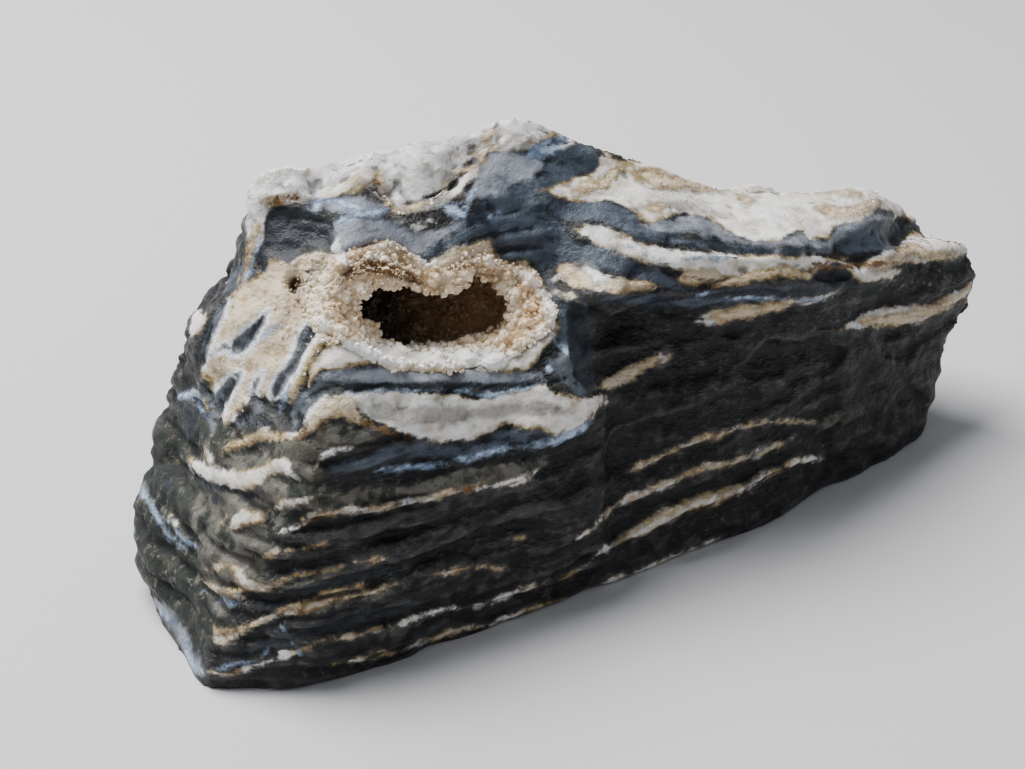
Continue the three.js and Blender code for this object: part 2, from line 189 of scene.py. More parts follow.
BANDS: Mapping[Tone, Mapping[str, Widths]] = {
    Tone.NAVY: {
        "under_shelf": (
            (548, 206, 9), (580, 212, 10), (610, 213, 12), (640, 230, 9), (665, 238, 6),
            (700, 244, 4), (730, 248, 4), (770, 252, 5), (810, 250, 6), (838, 244, 9),
            (870, 238, 16), (902, 236, 12),
        ),
        "under_white": (
            (545, 232, 10), (575, 250, 9), (610, 258, 12), (645, 270, 12), (670, 284, 8),
            (694, 291, 4),
        ),
        "step_edge": ((600, 300, 4), (640, 300, 5), (700, 302, 5), (760, 294, 6), (800, 290, 7)),
        "middle": (
            (330, 470, 4), (370, 460, 7), (410, 452, 8), (460, 452, 8), (500, 438, 6),
            (545, 434, 5), (575, 430, 4), (598, 412, 3),
        ),
        "left_edge": ((256, 250, 3), (244, 270, 8), (232, 285, 9), (226, 300, 4)),
    },
    Tone.ASH: {
        "foot": (
            (212, 684, 3), (240, 686, 4), (270, 684, 3), (300, 678, 3), (340, 666, 4),
            (395, 652, 4),
        ),
        "lobe_under": ((860, 296, 5), (890, 288, 6), (920, 282, 5), (960, 268, 5), (976, 264, 3)),
        "far_foot": ((836, 404, 5), (858, 402, 4)),
    },
    Tone.EARTH: {
        "middle_bed": (
            (300, 506, 5), (330, 501, 9), (360, 497, 10), (400, 494, 10), (440, 487, 10),
            (480, 478, 10), (520, 469, 8), (556, 459, 5),
        ),
        "second_bed": ((300, 612, 3), (340, 603, 4), (380, 592, 3), (420, 580, 2)),
        "third_bed": ((262, 592, 4), (300, 584, 4), (340, 574, 3), (380, 564, 2)),
        "far_bed": ((815, 424, 6), (830, 420, 6), (850, 410, 5)),
        "honey_right": ((500, 342, 6), (522, 328, 11), (530, 304, 12), (518, 282, 8)),
        "honey_top": ((340, 280, 7), (362, 274, 8), (392, 270, 6), (430, 272, 4), (470, 266, 5)),
        "far_corner": ((925, 408, 5), (930, 425, 5), (938, 385, 4), (946, 355, 4)),
    },
    Tone.SMOKE: {
        "below_druse": (
            (318, 378, 4), (338, 374, 7), (365, 375, 8), (400, 373, 9), (440, 373, 9),
            (480, 376, 7), (520, 377, 6), (540, 376, 4),
        ),
        "below_shelf": (
            (640, 224, 5), (668, 226, 7), (690, 221, 8), (712, 229, 8), (742, 241, 4),
            (775, 242, 4), (800, 240, 6), (826, 244, 4), (842, 230, 6), (870, 216, 5), (896, 219, 4),
        ),
        "left_foot": (
            (140, 592, 2), (156, 604, 5), (172, 619, 6), (185, 640, 5), (191, 662, 6),
            (204, 674, 4),
        ),
        "left_patch": ((134, 478, 5), (142, 492, 6), (148, 502, 4)),
    },
    Tone.GRAINY: {
        "crown_ridge": ((402, 196, 3), (420, 186, 8), (440, 176, 10), (450, 160, 10)),
    },
    Tone.CREAM: {
        "nub_top": ((254, 186, 3), (268, 172, 4), (288, 166, 4), (306, 170, 3)),
        "crown_fold": ((318, 197, 3), (334, 193, 5), (350, 186, 7), (366, 178, 7), (379, 173, 4)),
        "crown_lip": (
            (390, 212, 3), (406, 210, 4), (424, 205, 5), (442, 200, 5), (458, 189, 4), (470, 176, 4),
            (482, 158, 4), (490, 143, 3),
        ),
        "crown_mark": ((404, 222, 3), (418, 226, 5), (434, 222, 3)),
        "peak_fold": (
            (468, 157, 4), (478, 152, 4), (498, 146, 4), (512, 137, 3), (540, 143, 3),
            (556, 133, 3),
        ),
        "left_fold": ((338, 240, 2), (336, 250, 4), (344, 258, 4), (352, 266, 3)),
        "druse_floor": (
            (308, 386, 3), (318, 364, 7), (332, 356, 11), (352, 353, 13), (385, 353, 12),
            (420, 354, 12), (460, 357, 10), (500, 360, 10), (524, 361, 9), (534, 352, 7),
            (542, 342, 6), (552, 332, 5), (558, 321, 3),
        ),
        "druse_wall": ((520, 272, 3), (540, 290, 4), (549, 306, 4), (551, 322, 4)),
        "druse_roof": (
            (416, 268, 3), (440, 259, 4), (462, 250, 4), (482, 246, 4), (490, 258, 4),
            (494, 270, 3),
        ),
        "tip": ((190, 310, 5), (198, 318, 8), (196, 328, 7), (192, 336, 4)),
        "first_edge_right": ((322, 320, 2), (317, 342, 3), (308, 362, 3), (298, 388, 3), (290, 402, 2)),
        "second_edge_low": ((244, 366, 2), (256, 356, 3), (270, 338, 2)),
        "slit_fold": (
            (306, 324, 2), (318, 316, 3), (326, 328, 3), (320, 344, 3), (308, 360, 3),
            (302, 378, 3),
        ),
        "slit_back": ((286, 300, 3), (282, 316, 5), (268, 330, 4), (256, 346, 3), (248, 360, 3)),
        "outer_fold": ((232, 300, 3), (226, 320, 4), (216, 345, 3), (212, 366, 3)),
        "upper_white": (
            (330, 399, 5), (355, 398, 4), (400, 397, 4), (440, 399, 5), (478, 405, 5),
            (510, 399, 5), (540, 392, 7), (553, 398, 5), (578, 404, 6), (597, 402, 6),
        ),
        "lower_white": (
            (396, 430, 2), (430, 434, 6), (462, 431, 6), (500, 420, 4), (530, 422, 5),
            (560, 428, 7), (580, 418, 7), (597, 402, 6),
        ),
        "hook": (
            (188, 450, 4), (193, 464, 6), (206, 473, 7), (226, 477, 8), (245, 480, 10),
            (263, 473, 8), (279, 464, 6), (289, 472, 4), (298, 479, 2.5),
        ),
        "hook_prong": ((204, 445, 3), (209, 458, 4), (216, 468, 4)),
        "left_tuft": ((186, 396, 5), (196, 394, 4), (206, 404, 3), (212, 416, 4)),
        "left_drop": ((214, 384, 5), (216, 396, 5)),
        "blob": ((228, 530, 5), (240, 520, 8), (256, 518, 8), (264, 526, 3)),
        "blob_tail": ((268, 512, 2.5), (286, 503, 3), (312, 498, 3)),
        "left_patch": ((170, 516, 2.5), (177, 524, 3.5), (184, 530, 2)),
        "middle_low": (
            (278, 533, 4), (300, 526, 3), (318, 512, 3), (350, 510, 3), (380, 509, 3),
            (405, 502, 3), (440, 497, 2), (480, 487, 2), (512, 482, 3), (540, 468, 3),
        ),
        "middle_hook": ((316, 468, 3), (322, 458, 3), (334, 452, 3), (352, 448, 3)),
        "third": (
            (207, 570, 3), (226, 566, 4), (240, 574, 5), (249, 585, 6), (262, 588, 4),
            (280, 583, 2.5), (300, 576, 1.2), (330, 569, 1.6), (360, 561, 2), (388, 557, 1.6),
        ),
        "third_inner": ((196, 576, 2), (214, 588, 4), (232, 594, 4), (244, 598, 4)),
        "second": (
            (208, 637, 5), (222, 640, 4), (242, 634, 3), (258, 622, 3), (290, 612, 3),
            (320, 603, 4), (345, 598, 2.2), (370, 592, 2.2), (396, 585, 2),
        ),
        "first": (
            (197, 672, 5), (208, 672, 3), (228, 674, 2), (250, 668, 3), (275, 659, 3),
            (300, 650, 2.2), (330, 640, 1.4), (366, 632, 2), (392, 629, 2), (410, 620, 2.2),
            (440, 610, 2), (466, 608, 1.5), (490, 602, 1.5), (510, 594, 2.5), (540, 585, 1.3),
            (570, 575, 1), (595, 558, 1.5),
        ),
        "fourth": ((256, 560, 2), (275, 553, 2.5), (300, 549, 1), (325, 545, 2), (350, 542, 1)),
        "short_high": (
            (434, 575, 1.2), (450, 571, 2), (466, 569, 2), (482, 566, 2.5), (498, 569, 2.5),
            (510, 567, 1),
        ),
        "short_right": ((508, 542, 1.2), (523, 537, 2.2), (533, 539, 1.2)),
        "rim": (
            (330, 666, 2), (370, 658, 2.4), (400, 651, 2.4), (415, 645, 2), (440, 636, 2),
            (465, 628, 3), (485, 625, 2.4), (520, 613, 2.6), (560, 601, 2.2), (600, 587, 2.8),
            (640, 570, 2.6), (680, 555, 2.2), (720, 538, 1.6),
        ),
        "right_upper": (
            (578, 538, 2), (590, 530, 2), (601, 519, 2), (612, 508, 2), (625, 500, 4),
            (650, 491, 4), (672, 481, 3.5), (700, 469, 4), (730, 462, 3), (760, 452, 3.5),
            (778, 445, 2.5), (796, 439, 1),
        ),
        "right_lower": (
            (596, 557, 2), (607, 549, 4), (622, 540, 4), (642, 530, 5), (662, 519, 7),
            (680, 510, 7), (702, 501, 8), (722, 495, 6), (745, 487, 4.5), (765, 476, 4.5),
            (785, 466, 3.5), (802, 461, 3.5), (825, 457, 4),
        ),
        "right_third": (
            (627, 472, 1.5), (645, 466, 1.5), (670, 452, 1.8), (700, 441, 2.5), (712, 441, 1.5),
            (728, 430, 2.5), (750, 425, 1), (774, 421, 1.5), (815, 422, 2.5),
        ),
        "recess_bar": ((598, 388, 4), (620, 377, 5), (640, 367, 6), (655, 361, 4), (670, 356, 2.5)),
        "ledge_bar": (
            (696, 322, 3), (716, 317, 6), (742, 312, 6), (766, 308, 6), (786, 302, 5),
            (802, 299, 4), (825, 293, 4), (850, 281, 4),
        ),
        "long_white": (
            (574, 229, 3), (596, 233, 8), (620, 243, 8), (646, 253, 8), (676, 259, 10),
            (706, 265, 12), (742, 267, 11), (780, 265, 9), (816, 262, 6), (850, 267, 5),
            (862, 277, 5), (882, 274, 6), (902, 270, 5),
        ),
        "left_bar": (
            (555, 279, 4), (570, 273, 8), (592, 281, 8), (620, 285, 6), (650, 286, 4),
            (660, 289, 2),
        ),
        "lobe": (
            (862, 272, 6), (882, 262, 7), (906, 256, 8), (930, 251, 10), (956, 247, 9),
            (972, 252, 4),
        ),
        "lobe_top": ((902, 246, 5), (916, 240, 8), (936, 241, 9), (956, 246, 7), (968, 252, 4)),
        "far_bar": (
            (838, 330, 3), (870, 319, 6), (892, 315, 8), (916, 315, 9), (936, 308, 6),
            (952, 299, 5), (966, 292, 5), (982, 279, 5),
        ),
        "under_left_bar": ((556, 292, 3), (572, 298, 4), (586, 301, 2)),
    },
    Tone.VEIL: {
        "white_core": (
            (362, 409, 4), (380, 411, 8), (410, 414, 10), (445, 415, 9), (480, 413, 6),
            (512, 409, 6), (545, 409, 7), (578, 411, 4),
        ),
        "shelf_core": ((636, 210, 2), (662, 205, 4), (698, 209, 4), (724, 216, 3)),
        "fold": ((330, 268, 3), (318, 290, 4), (300, 318, 3), (286, 345, 4), (270, 372, 3)),
    },
    Tone.TAN: {
        "shelf_left": ((572, 189, 5), (590, 187, 6), (606, 182, 6), (616, 170, 4), (632, 163, 4)),
        "shelf_middle": ((640, 206, 5), (655, 208, 5), (668, 205, 3)),
        "shelf_top": ((626, 170, 5), (648, 176, 8), (676, 182, 8), (704, 186, 5), (728, 190, 3)),
        "shelf_right": ((734, 194, 4), (748, 200, 4), (756, 196, 3)),
        "shelf_back": ((760, 188, 2), (800, 190, 3), (832, 190, 4), (860, 194, 4)),
        "shelf_far": ((816, 206, 6), (842, 212, 6), (868, 206, 5), (886, 200, 3)),
        "long_lower": (
            (676, 276, 6), (690, 278, 8), (712, 277, 7), (728, 281, 5), (756, 276, 5),
            (786, 271, 5), (804, 276, 4), (820, 267, 3),
        ),
        "left_bar_end": ((560, 264, 5), (566, 272, 9), (578, 280, 9), (592, 286, 6)),
        "left_bar_low": ((602, 286, 6), (625, 286, 5), (650, 285, 4)),
        "lobe_low": ((864, 266, 6), (890, 262, 6), (912, 250, 6), (935, 256, 5), (958, 254, 3)),
        "far_low": ((862, 322, 6), (902, 319, 7), (930, 310, 6), (955, 300, 5), (976, 284, 4)),
        "recess_glow": ((600, 388, 4), (614, 381, 4), (632, 372, 5), (648, 364, 5), (664, 358, 3)),
        "ledge_low": ((704, 320, 5), (735, 314, 6), (762, 310, 5), (790, 302, 4), (815, 296, 2)),
        "ochre_run": (
            (222, 454, 4), (232, 446, 5), (250, 440, 5), (268, 434, 5), (284, 436, 3),
            (298, 436, 4), (310, 428, 4), (316, 414, 4), (322, 404, 4),
        ),
        "ochre_rib": ((248, 384, 2.5), (246, 398, 3), (240, 407, 4), (230, 418, 3), (226, 426, 2)),
        "ochre_drop": ((262, 386, 2), (262, 396, 2)),
        "ochre_mark": ((442, 397, 4), (436, 399, 2)),
        "rim_mark": ((556, 396, 3), (564, 394, 3)),
        "hook_tan": ((210, 464, 3), (216, 472, 3), (213, 482, 2)),
        "middle_low_edge": (
            (300, 520, 2.5), (322, 514, 2.5), (360, 511, 1.5), (400, 503, 2), (450, 492, 2),
            (500, 482, 2),
        ),
        "blob_edge": ((220, 524, 3), (226, 516, 2)),
        "third_edge": (
            (222, 588, 3), (238, 590, 3), (262, 586, 3), (290, 577, 2), (312, 573, 2),
            (345, 565, 2),
        ),
        "second_edge": (
            (214, 626, 5), (222, 632, 5), (246, 628, 3), (288, 608, 2), (345, 588, 3),
            (370, 584, 2),
        ),
        "first_edge": ((300, 647, 2.5), (345, 637, 1.5), (366, 631, 2.5), (400, 622, 1.5)),
        "fourth_edge": ((262, 558, 2.5), (276, 553, 2.5), (322, 546, 1.5)),
        "right_upper_edge": (
            (622, 502, 3), (640, 494, 2.5), (676, 478, 2), (712, 466, 2), (745, 458, 2),
            (775, 446, 2),
        ),
        "right_lower_edge": (
            (614, 545, 2), (640, 526, 3), (665, 513, 4), (690, 502, 3), (745, 484, 2),
            (776, 469, 3),
        ),
        "right_third_edge": (
            (628, 471, 1.5), (672, 451, 1.5), (700, 439, 1.8), (740, 426, 1), (774, 421, 1.5),
            (815, 422, 2),
        ),
        "high_edge": ((478, 567, 1.5), (505, 568, 1.2)),
        "crown_ochre": (
            (374, 182, 3), (380, 174, 3), (392, 205, 3), (400, 212, 3), (414, 206, 3),
            (440, 198, 2), (452, 176, 3), (474, 166, 3),
        ),
        "peak_ochre": ((484, 142, 4), (488, 136, 5), (496, 130, 3)),
        "peak_ochre_right": ((540, 141, 3), (550, 136, 4), (558, 131, 2)),
        "nub_ochre": ((256, 203, 3), (276, 201, 3), (296, 194, 4), (303, 190, 3)),
        "fold_ochre": ((374, 168, 2), (378, 178, 3), (384, 190, 3), (388, 204, 3)),
        "left_ochre": ((258, 226, 3), (254, 238, 3), (238, 300, 3), (234, 312, 3)),
        "left_mottle": ((172, 452, 3), (178, 462, 3)),
    },
    Tone.ICE: {
        "below_dark": (
            (345, 393, 1.5), (370, 391, 1.5), (400, 389, 2), (440, 389, 2), (462, 390, 2.5),
            (478, 396, 2.5), (500, 393, 1.5), (530, 387, 1.5), (545, 380, 2),
        ),
        "middle_line": (
            (375, 471, 2), (395, 468, 3), (420, 467, 3.5), (440, 464, 3), (455, 461, 2),
            (478, 456, 2.5), (498, 450, 3), (522, 447, 2), (555, 442, 3), (577, 431, 3), (592, 423, 2.5),
        ),
        "facet_edge": (
            (334, 240, 1), (334, 228, 2), (342, 220, 3), (358, 214, 3.5), (378, 212, 3),
            (388, 208, 2),
        ),
        "window_top": ((306, 205, 4), (311, 213, 3), (322, 200, 3)),
        "crown_low": ((440, 205, 4), (452, 209, 6), (463, 213, 5), (468, 200, 4), (475, 190, 4)),
        "peak": ((526, 157, 6), (543, 150, 8), (560, 142, 6), (569, 136, 3)),
        "glaze": ((312, 199, 3), (334, 200, 4), (354, 206, 3), (372, 212, 3)),
        "fleck": ((490, 217, 3), (498, 212, 3)),
        "left_line": ((263, 234, 1.5), (256, 254, 2), (249, 270, 2), (242, 286, 1.5)),
        "right_rim": ((552, 336, 2), (560, 345, 2.5), (568, 357, 2), (540, 374, 2)),
        "slit_edge": ((284, 322, 2), (270, 330, 2), (262, 340, 1.5)),
        "finger_edge": ((290, 384, 2.5), (284, 400, 3), (280, 412, 2.5)),
        "finger_low": ((238, 390, 2.5), (234, 400, 2.5)),
        "long_edge": ((600, 250, 1.5), (640, 245, 1.5), (650, 258, 1), (722, 258, 3), (730, 252, 2)),
        "ledge_line": ((690, 294, 3), (810, 300, 1.5), (826, 295, 1.5)),
        "foot_line": (
            (216, 669, 1.2), (240, 664, 1.6), (262, 657, 1.6), (280, 628, 1.5), (300, 656, 1.2),
        ),
        "left_foot": ((146, 598, 2), (168, 618, 2.5), (184, 642, 2), (192, 664, 4), (206, 673, 3)),
        "left_face": (
            (138, 480, 2.5), (143, 492, 2.5), (150, 503, 1.2), (162, 526, 2), (174, 540, 2),
            (186, 549, 1),
        ),
        "left_streak": ((168, 522, 2), (182, 538, 2), (196, 548, 1.5)),
        "tuft": ((178, 398, 3), (190, 394, 3), (200, 402, 3), (206, 416, 3)),
        "left_ridge": ((240, 596, 2), (232, 604, 2), (204, 590, 2)),
    },
    Tone.SLATE: {
        "slit_first": (
            (315, 321, 5), (310, 331, 7), (304, 342, 6), (298, 354, 5), (292, 366, 5.5), (284, 378, 6),
            (277, 390, 5.5), (273, 402, 4),
        ),
        "slit_second": ((267, 312, 3), (258, 325, 4.5), (249, 336, 7), (240, 345, 8), (232, 354, 6)),
        "slit_third": ((226, 301, 3), (218, 317, 4), (211, 332, 4), (205, 348, 4), (201, 366, 3)),
        "slit_fourth": ((241, 372, 4), (231, 383, 6), (222, 396, 7), (216, 412, 7), (213, 430, 5)),
        "slit_fifth": ((334, 385, 5), (319, 391, 7), (307, 401, 8), (299, 413, 7), (293, 430, 5)),
        "slit_sixth": ((288, 366, 1.5), (282, 374, 2), (272, 394, 3), (274, 398, 3)),
        "slit_seventh": ((216, 353, 2), (225, 347, 3), (235, 343, 2)),
        "slit_eighth": ((194, 386, 2), (206, 392, 3.5), (209, 404, 3)),
        "finger_gap": ((262, 372, 1.5), (256, 384, 2.5), (252, 396, 2.5)),
        "finger_root": ((250, 404, 3), (262, 404, 3), (255, 413, 2), (238, 422, 3), (270, 424, 2.5)),
        "rim_blob": ((552, 352, 7), (560, 363, 10), (571, 375, 10), (581, 387, 6)),
    },
    Tone.INK: {
        "below_druse": (
            (322, 389, 2), (352, 388, 3), (380, 386, 2.5), (420, 387, 3), (460, 385, 2.5),
            (500, 387, 3), (534, 383, 2),
        ),
        "crown_crack": (
            (268, 206, 1.5), (276, 200, 2), (286, 196, 1.5), (296, 198, 1.5), (306, 201, 2),
            (313, 195, 1.2),
        ),
        "crown_groove": (
            (396, 206, 1.5), (410, 203, 2), (428, 198, 2.5), (442, 193, 2.5), (454, 183, 2),
            (461, 172, 1.5),
        ),
        # painted shadow down the side of the recess
        "recess_shadow": ((574, 302, 7), (579, 325, 12), (580, 350, 12), (584, 372, 10), (588, 390, 6)),
        "long_dark": ((700, 243, 2), (716, 246, 4), (735, 250, 2.5), (780, 252, 3)),
        # painted shadow under the upper ledge
        "ledge_shadow": ((700, 298, 4), (760, 290, 5), (800, 300, 3)),
        "hook_shadow": ((186, 468, 1.5), (200, 482, 2.5), (222, 489, 3), (238, 492, 2)),
        "corner_spots": ((190, 486, 4), (194, 494, 2)),
        "corner_drop": ((213, 492, 5), (215, 503, 5)),
        "corner_streak": ((240, 500, 3), (256, 492, 4), (262, 488, 2)),
        "left_plate": ((186, 404, 6), (190, 422, 9), (180, 440, 8)),
        "left_low": ((160, 480, 6), (170, 488, 5)),
        "third_shadow": ((216, 578, 3), (228, 580, 3)),
        "below_second": ((250, 612, 3), (300, 592, 5), (350, 578, 4), (400, 568, 4)),
        "below_first": ((240, 652, 2), (300, 634, 4), (360, 618, 5), (420, 604, 4)),
        "tan_breaks": ((325, 420, 2), (330, 414, 1)),
    },
    Tone.RUST: {
        "stain": ((350, 410, 2), (356, 419, 3), (372, 425, 3), (386, 430, 3.5), (396, 437, 3)),
        "stain_end": ((404, 438, 2), (410, 434, 3), (414, 437, 1.5)),
        "stain_left": ((290, 438, 3), (303, 434, 3.5), (312, 428, 2.5), (320, 426, 3), (328, 419, 2.5)),
        "middle_edge": ((300, 522, 1.5), (315, 519, 1.5), (328, 515, 1)),
        "middle_crack": ((455, 486, 1.2), (468, 489, 1.5), (480, 484, 1.2), (494, 482, 1)),
        # rust stain at the hole's upper lip, widened so that it also carries painted shade there
        "lip": (
            (340, 282, 4), (352, 272, 7), (366, 266, 8), (382, 268, 8), (396, 272, 7), (410, 278, 6),
            (426, 285, 3),
        ),
        "lip_right": ((452, 270, 2), (466, 266, 3), (482, 264, 2.5)),
        "pit": ((295, 278, 8), (294, 290, 8)),
        "glow": ((646, 365, 2.5), (650, 361, 1.5)),
        "crown_pits": (
            (266, 200, 2), (272, 204, 3), (280, 203, 2), (296, 199, 2.5), (302, 202, 2.5),
            (311, 194, 2.5),
        ),
        "crown_pit": ((374, 176, 2), (378, 184, 2.5), (376, 190, 2)),
        "shelf_mark": ((680, 273, 3), (684, 277, 3), (686, 284, 2)),
        "far_mark": ((830, 262, 2), (812, 268, 2), (888, 263, 2.5), (900, 264, 1.5)),
        "second_mark": ((320, 608, 3), (314, 610, 2), (272, 612, 1.2)),
        "third_mark": ((290, 576, 1.2), (326, 571, 1.2)),
        "hook_mark": ((214, 410, 2.5), (210, 408, 2)),
        "ochre_core": ((250, 442, 2), (258, 440, 1.5)),
    },
}


@dataclass(frozen=True)
class Station:
    """The point the stone is seen from, and the picture it makes there."""

    position: tuple[float, float, float] = (-136.75, -195.93, 131.7)
    heading_deg: float = 33.0
    dip_deg: float = 26.0
    lens: float = 70.0
    sensor: float = 36.0
    picture_width: int = 1025
    picture_height: int = 769

    def axes(self) -> tuple[np.ndarray, np.ndarray, np.ndarray]:
        """Finds the directions of the view.

        Returns:
            The forward, right and up directions, each of length one.
        """
        heading = math.radians(self.heading_deg)
        dip = math.radians(self.dip_deg)
        forward = np.array([
            math.sin(heading) * math.cos(dip),
            math.cos(heading) * math.cos(dip),
            -math.sin(dip),
        ])
        right = np.array([math.cos(heading), -math.sin(heading), 0.0])
        return forward, right, np.cross(right, forward)

    def pixels(self, points: np.ndarray) -> np.ndarray:
        """Finds where points of the stone lie in the picture.

        Args:
            points: Places in millimetres, one row each.

        Returns:
            Columns and rows of the picture, in pixels.
        """
        forward, right, up = self.axes()
        offset = points - np.array(self.position)
        depth = offset @ forward
        focal = self.lens / self.sensor * self.picture_width
        across = self.picture_width / 2 + focal * (offset @ right) / depth
        down = self.picture_height / 2 - focal * (offset @ up) / depth
        return np.stack([across, down], axis=1)

    def facing(self, points: np.ndarray, normals: np.ndarray) -> np.ndarray:
        """Tells how squarely the surface faces the station.

        Args:
            points: Places in millimetres, one row each.
            normals: The surface's directions there.

        Returns:
            One where it faces the station, nought where it is edge on or turned away.
        """
        toward = np.array(self.position) - points
        toward /= np.linalg.norm(toward, axis=1, keepdims=True)
        return np.clip((toward * normals).sum(axis=1), 0.0, 1.0)


@dataclass(frozen=True)
class Roughness3D:
    """Smooth random values that fill space and come out the same each run."""

    seed: int
    size: float
    octaves: int = 1
    squeeze: tuple[float, float, float] = (1.0, 1.0, 1.0)

    def at(self, points: np.ndarray) -> np.ndarray:
        """Reads the random values, whose largest bumps lie about one size apart.

        Args:
            points: Places, one row each.

        Returns:
            Values from about minus one to one.
        """
        total = np.zeros(len(points))
        cells = points * self.squeeze / self.size
        strength = 1.0
        reach = 0.0
        for octave in range(self.octaves):
            total += strength * self._layer(cells * 2**octave, self.seed + OCTAVE_STEP * octave)
            reach += strength
            strength *= 0.5
        return total / reach

    def billow(self, points: np.ndarray) -> np.ndarray:
        """Reads the values as round bumps with creases between them."""
        return 2.0 * np.abs(self.at(points)) - BILLOW_MEAN

    def _layer(self, cells: np.ndarray, seed: int) -> np.ndarray:
        """Reads one layer.

        Args:
            cells: Places in cell units, one row each.
            seed: The layer's own number.

        Returns:
            Values from minus one to one.
        """
        low = np.floor(cells).astype(np.int64)
        share = cells - low
        share = share * share * (3.0 - 2.0 * share)
        value = np.zeros(len(cells))
        for corner in range(8):
            step = np.array([corner & 1, corner >> 1 & 1, corner >> 2 & 1])
            weight = np.prod(np.where(step, share, 1.0 - share), axis=1)
            value += weight * self._corner(low + step, seed)
        return value

    @staticmethod
    def _corner(cells: np.ndarray, seed: int) -> np.ndarray:
        """Gives each whole cell corner its own value.

        Args:
            cells: Whole numbers, three to a row.
            seed: The layer's own number.

        Returns:
            Values from minus one to one.
        """
        mixed = np.bitwise_xor.reduce(cells * AXIS_PRIMES, axis=1)
        mixed = (mixed ^ seed * SEED_PRIME) & LARGEST
        for shift, prime in MIXING_STEPS:
            mixed = (mixed ^ mixed >> shift) * prime & LARGEST
        return (mixed ^ mixed >> LAST_SHIFT) / (LARGEST // 2) - 1.0


def ease(low: float, high: float, value: np.ndarray) -> np.ndarray:
    """Rises smoothly from nought at low to one at high.

    Args:
        low: Where the rise starts.
        high: Where it ends.
        value: What is measured.

    Returns:
        Shares from nought to one.
    """
    share = np.clip((value - low) / (high - low), 0.0, 1.0)
    return share * share * (3.0 - 2.0 * share)


@dataclass(frozen=True)
class BandDrawing:
    """The bands as they show from the station, drawn as patches and lines."""

    station: Station
    reach: float = 14.0
    curve_steps: int = 5
    taper: float = 13.0
    blunt: float = 0.3

    def depth_inside(self, tone: Tone, pixels: np.ndarray) -> np.ndarray:
        """Measures how far inside a tone's shapes each pixel lies.

        Args:
            tone: The colour asked for.
            pixels: Columns and rows, one pair to a row.

        Returns:
            Pixels inside the nearest edge, below nought outside, no less than minus the reach.
        """
        best = np.full(len(pixels), -self.reach)
        for outline in PATCHES[tone].values():
            self._raise_to(best, pixels, self._patch_depth, self._curve(outline, True))
        for run in BANDS[tone].values():
            self._raise_to(best, pixels, self._band_depth, self._curve(run, False))
        return best

    def _raise_to(self, best: np.ndarray, pixels: np.ndarray, measure: Measure, line: np.ndarray) -> None:
        """Takes in one shape, where it lies nearer than those before.

        Args:
            best: The depths so far, which are changed.
            pixels: Columns and rows, one pair to a row.
            measure: The function that measures this kind of shape.
            line: The shape's curve.
        """
        margin = self.reach + (line[:, 2].max() if line.shape[1] > 2 else 0.0)
        low = line[:, :2].min(axis=0) - margin
        high = line[:, :2].max(axis=0) + margin
        near = np.flatnonzero(((pixels > low) & (pixels < high)).all(axis=1))
        if len(near):
            best[near] = np.maximum(best[near], measure(pixels[near], line))

    def _curve(self, run: Sequence[Sequence[float]], closed: bool) -> np.ndarray:
        """Rounds a run of points into a smooth curve through them.

        Args:
            run: The points, with or without a half width.
            closed: Whether the last point joins the first.

        Returns:
            More points on the curve, one row each.
        """
        points = np.array(run, float)
        count = len(points)
        spans = count if closed else count - 1
        share = np.linspace(0.0, 1.0, self.curve_steps, endpoint=False)[:, None]
        pieces = []
        for i in range(spans):
            picks = [i - 1, i, i + 1, i + 2]
            picks = [p % count if closed else min(max(p, 0), count - 1) for p in picks]
            before, start, end, after = points[picks]
            pull = 0.5 * (end - before)
            push = 0.5 * (after - start)
            drop = start - end
            pieces.append(
                start + pull * share + (-3 * drop - 2 * pull - push) * share**2
                + (2 * drop + pull + push) * share**3
            )
        if closed:
            return np.concatenate(pieces)
        line = np.concatenate(pieces + [points[-1:]])
        run = np.concatenate([[0.0], np.cumsum(np.linalg.norm(np.diff(line[:, :2], axis=0), axis=1))])
        line[:, 2] *= self.blunt + (1.0 - self.blunt) * ease(0.0, self.taper, np.minimum(run, run[-1] - run))
        return line

    @staticmethod
    def _nearest(pixels: np.ndarray, starts: np.ndarray, ends: np.ndarray) -> tuple[np.ndarray, np.ndarray]:
        """Measures the way from each pixel to each straight piece.

        Args:
            pixels: Columns and rows, one pair to a row.
            starts: Where the pieces start.
            ends: Where they end.

        Returns:
            The distance and the share of the way along, one row a pixel and one column a piece.
        """
        along = ends - starts
        square = np.maximum((along * along).sum(axis=1), TINY)
        offset = pixels[:, None, :] - starts[None, :, :]
        share = np.clip((offset * along).sum(axis=2) / square, 0.0, 1.0)
        gap = offset - share[:, :, None] * along
        return np.sqrt((gap * gap).sum(axis=2)), share

    def _band_depth(self, pixels: np.ndarray, line: np.ndarray) -> np.ndarray:
        """Measures the depth inside a band of changing width.

        Args:
            pixels: Columns and rows, one pair to a row.
            line: The band's middle line with its half widths.

        Returns:
            Pixels inside the band's edge, below nought outside.
        """
        distance, share = self._nearest(pixels, line[:-1, :2], line[1:, :2])
        width = line[:-1, 2] + share * (line[1:, 2] - line[:-1, 2])
        return (width - distance).max(axis=1)

    def _patch_depth(self, pixels: np.ndarray, line: np.ndarray) -> np.ndarray:
        """Measures the depth inside a closed patch.

        Args:
            pixels: Columns and rows, one pair to a row.
            line: The patch's outline.

        Returns:
            Pixels inside the outline, below nought outside.
        """
        ends = np.roll(line, -1, axis=0)
        distance, _ = self._nearest(pixels, line, ends)
        across, down = pixels[:, 0:1], pixels[:, 1:2]
        crossing = (line[:, 1] > down) != (ends[:, 1] > down)
        rise = ends[:, 1] - line[:, 1]
        rise[np.abs(rise) < TINY] = TINY
        meet = line[:, 0] + (down - line[:, 1]) / rise * (ends[:, 0] - line[:, 0])
        inside = (crossing & (across < meet)).sum(axis=1) % 2 == 1
        return np.where(inside, 1.0, -1.0) * distance.min(axis=1)


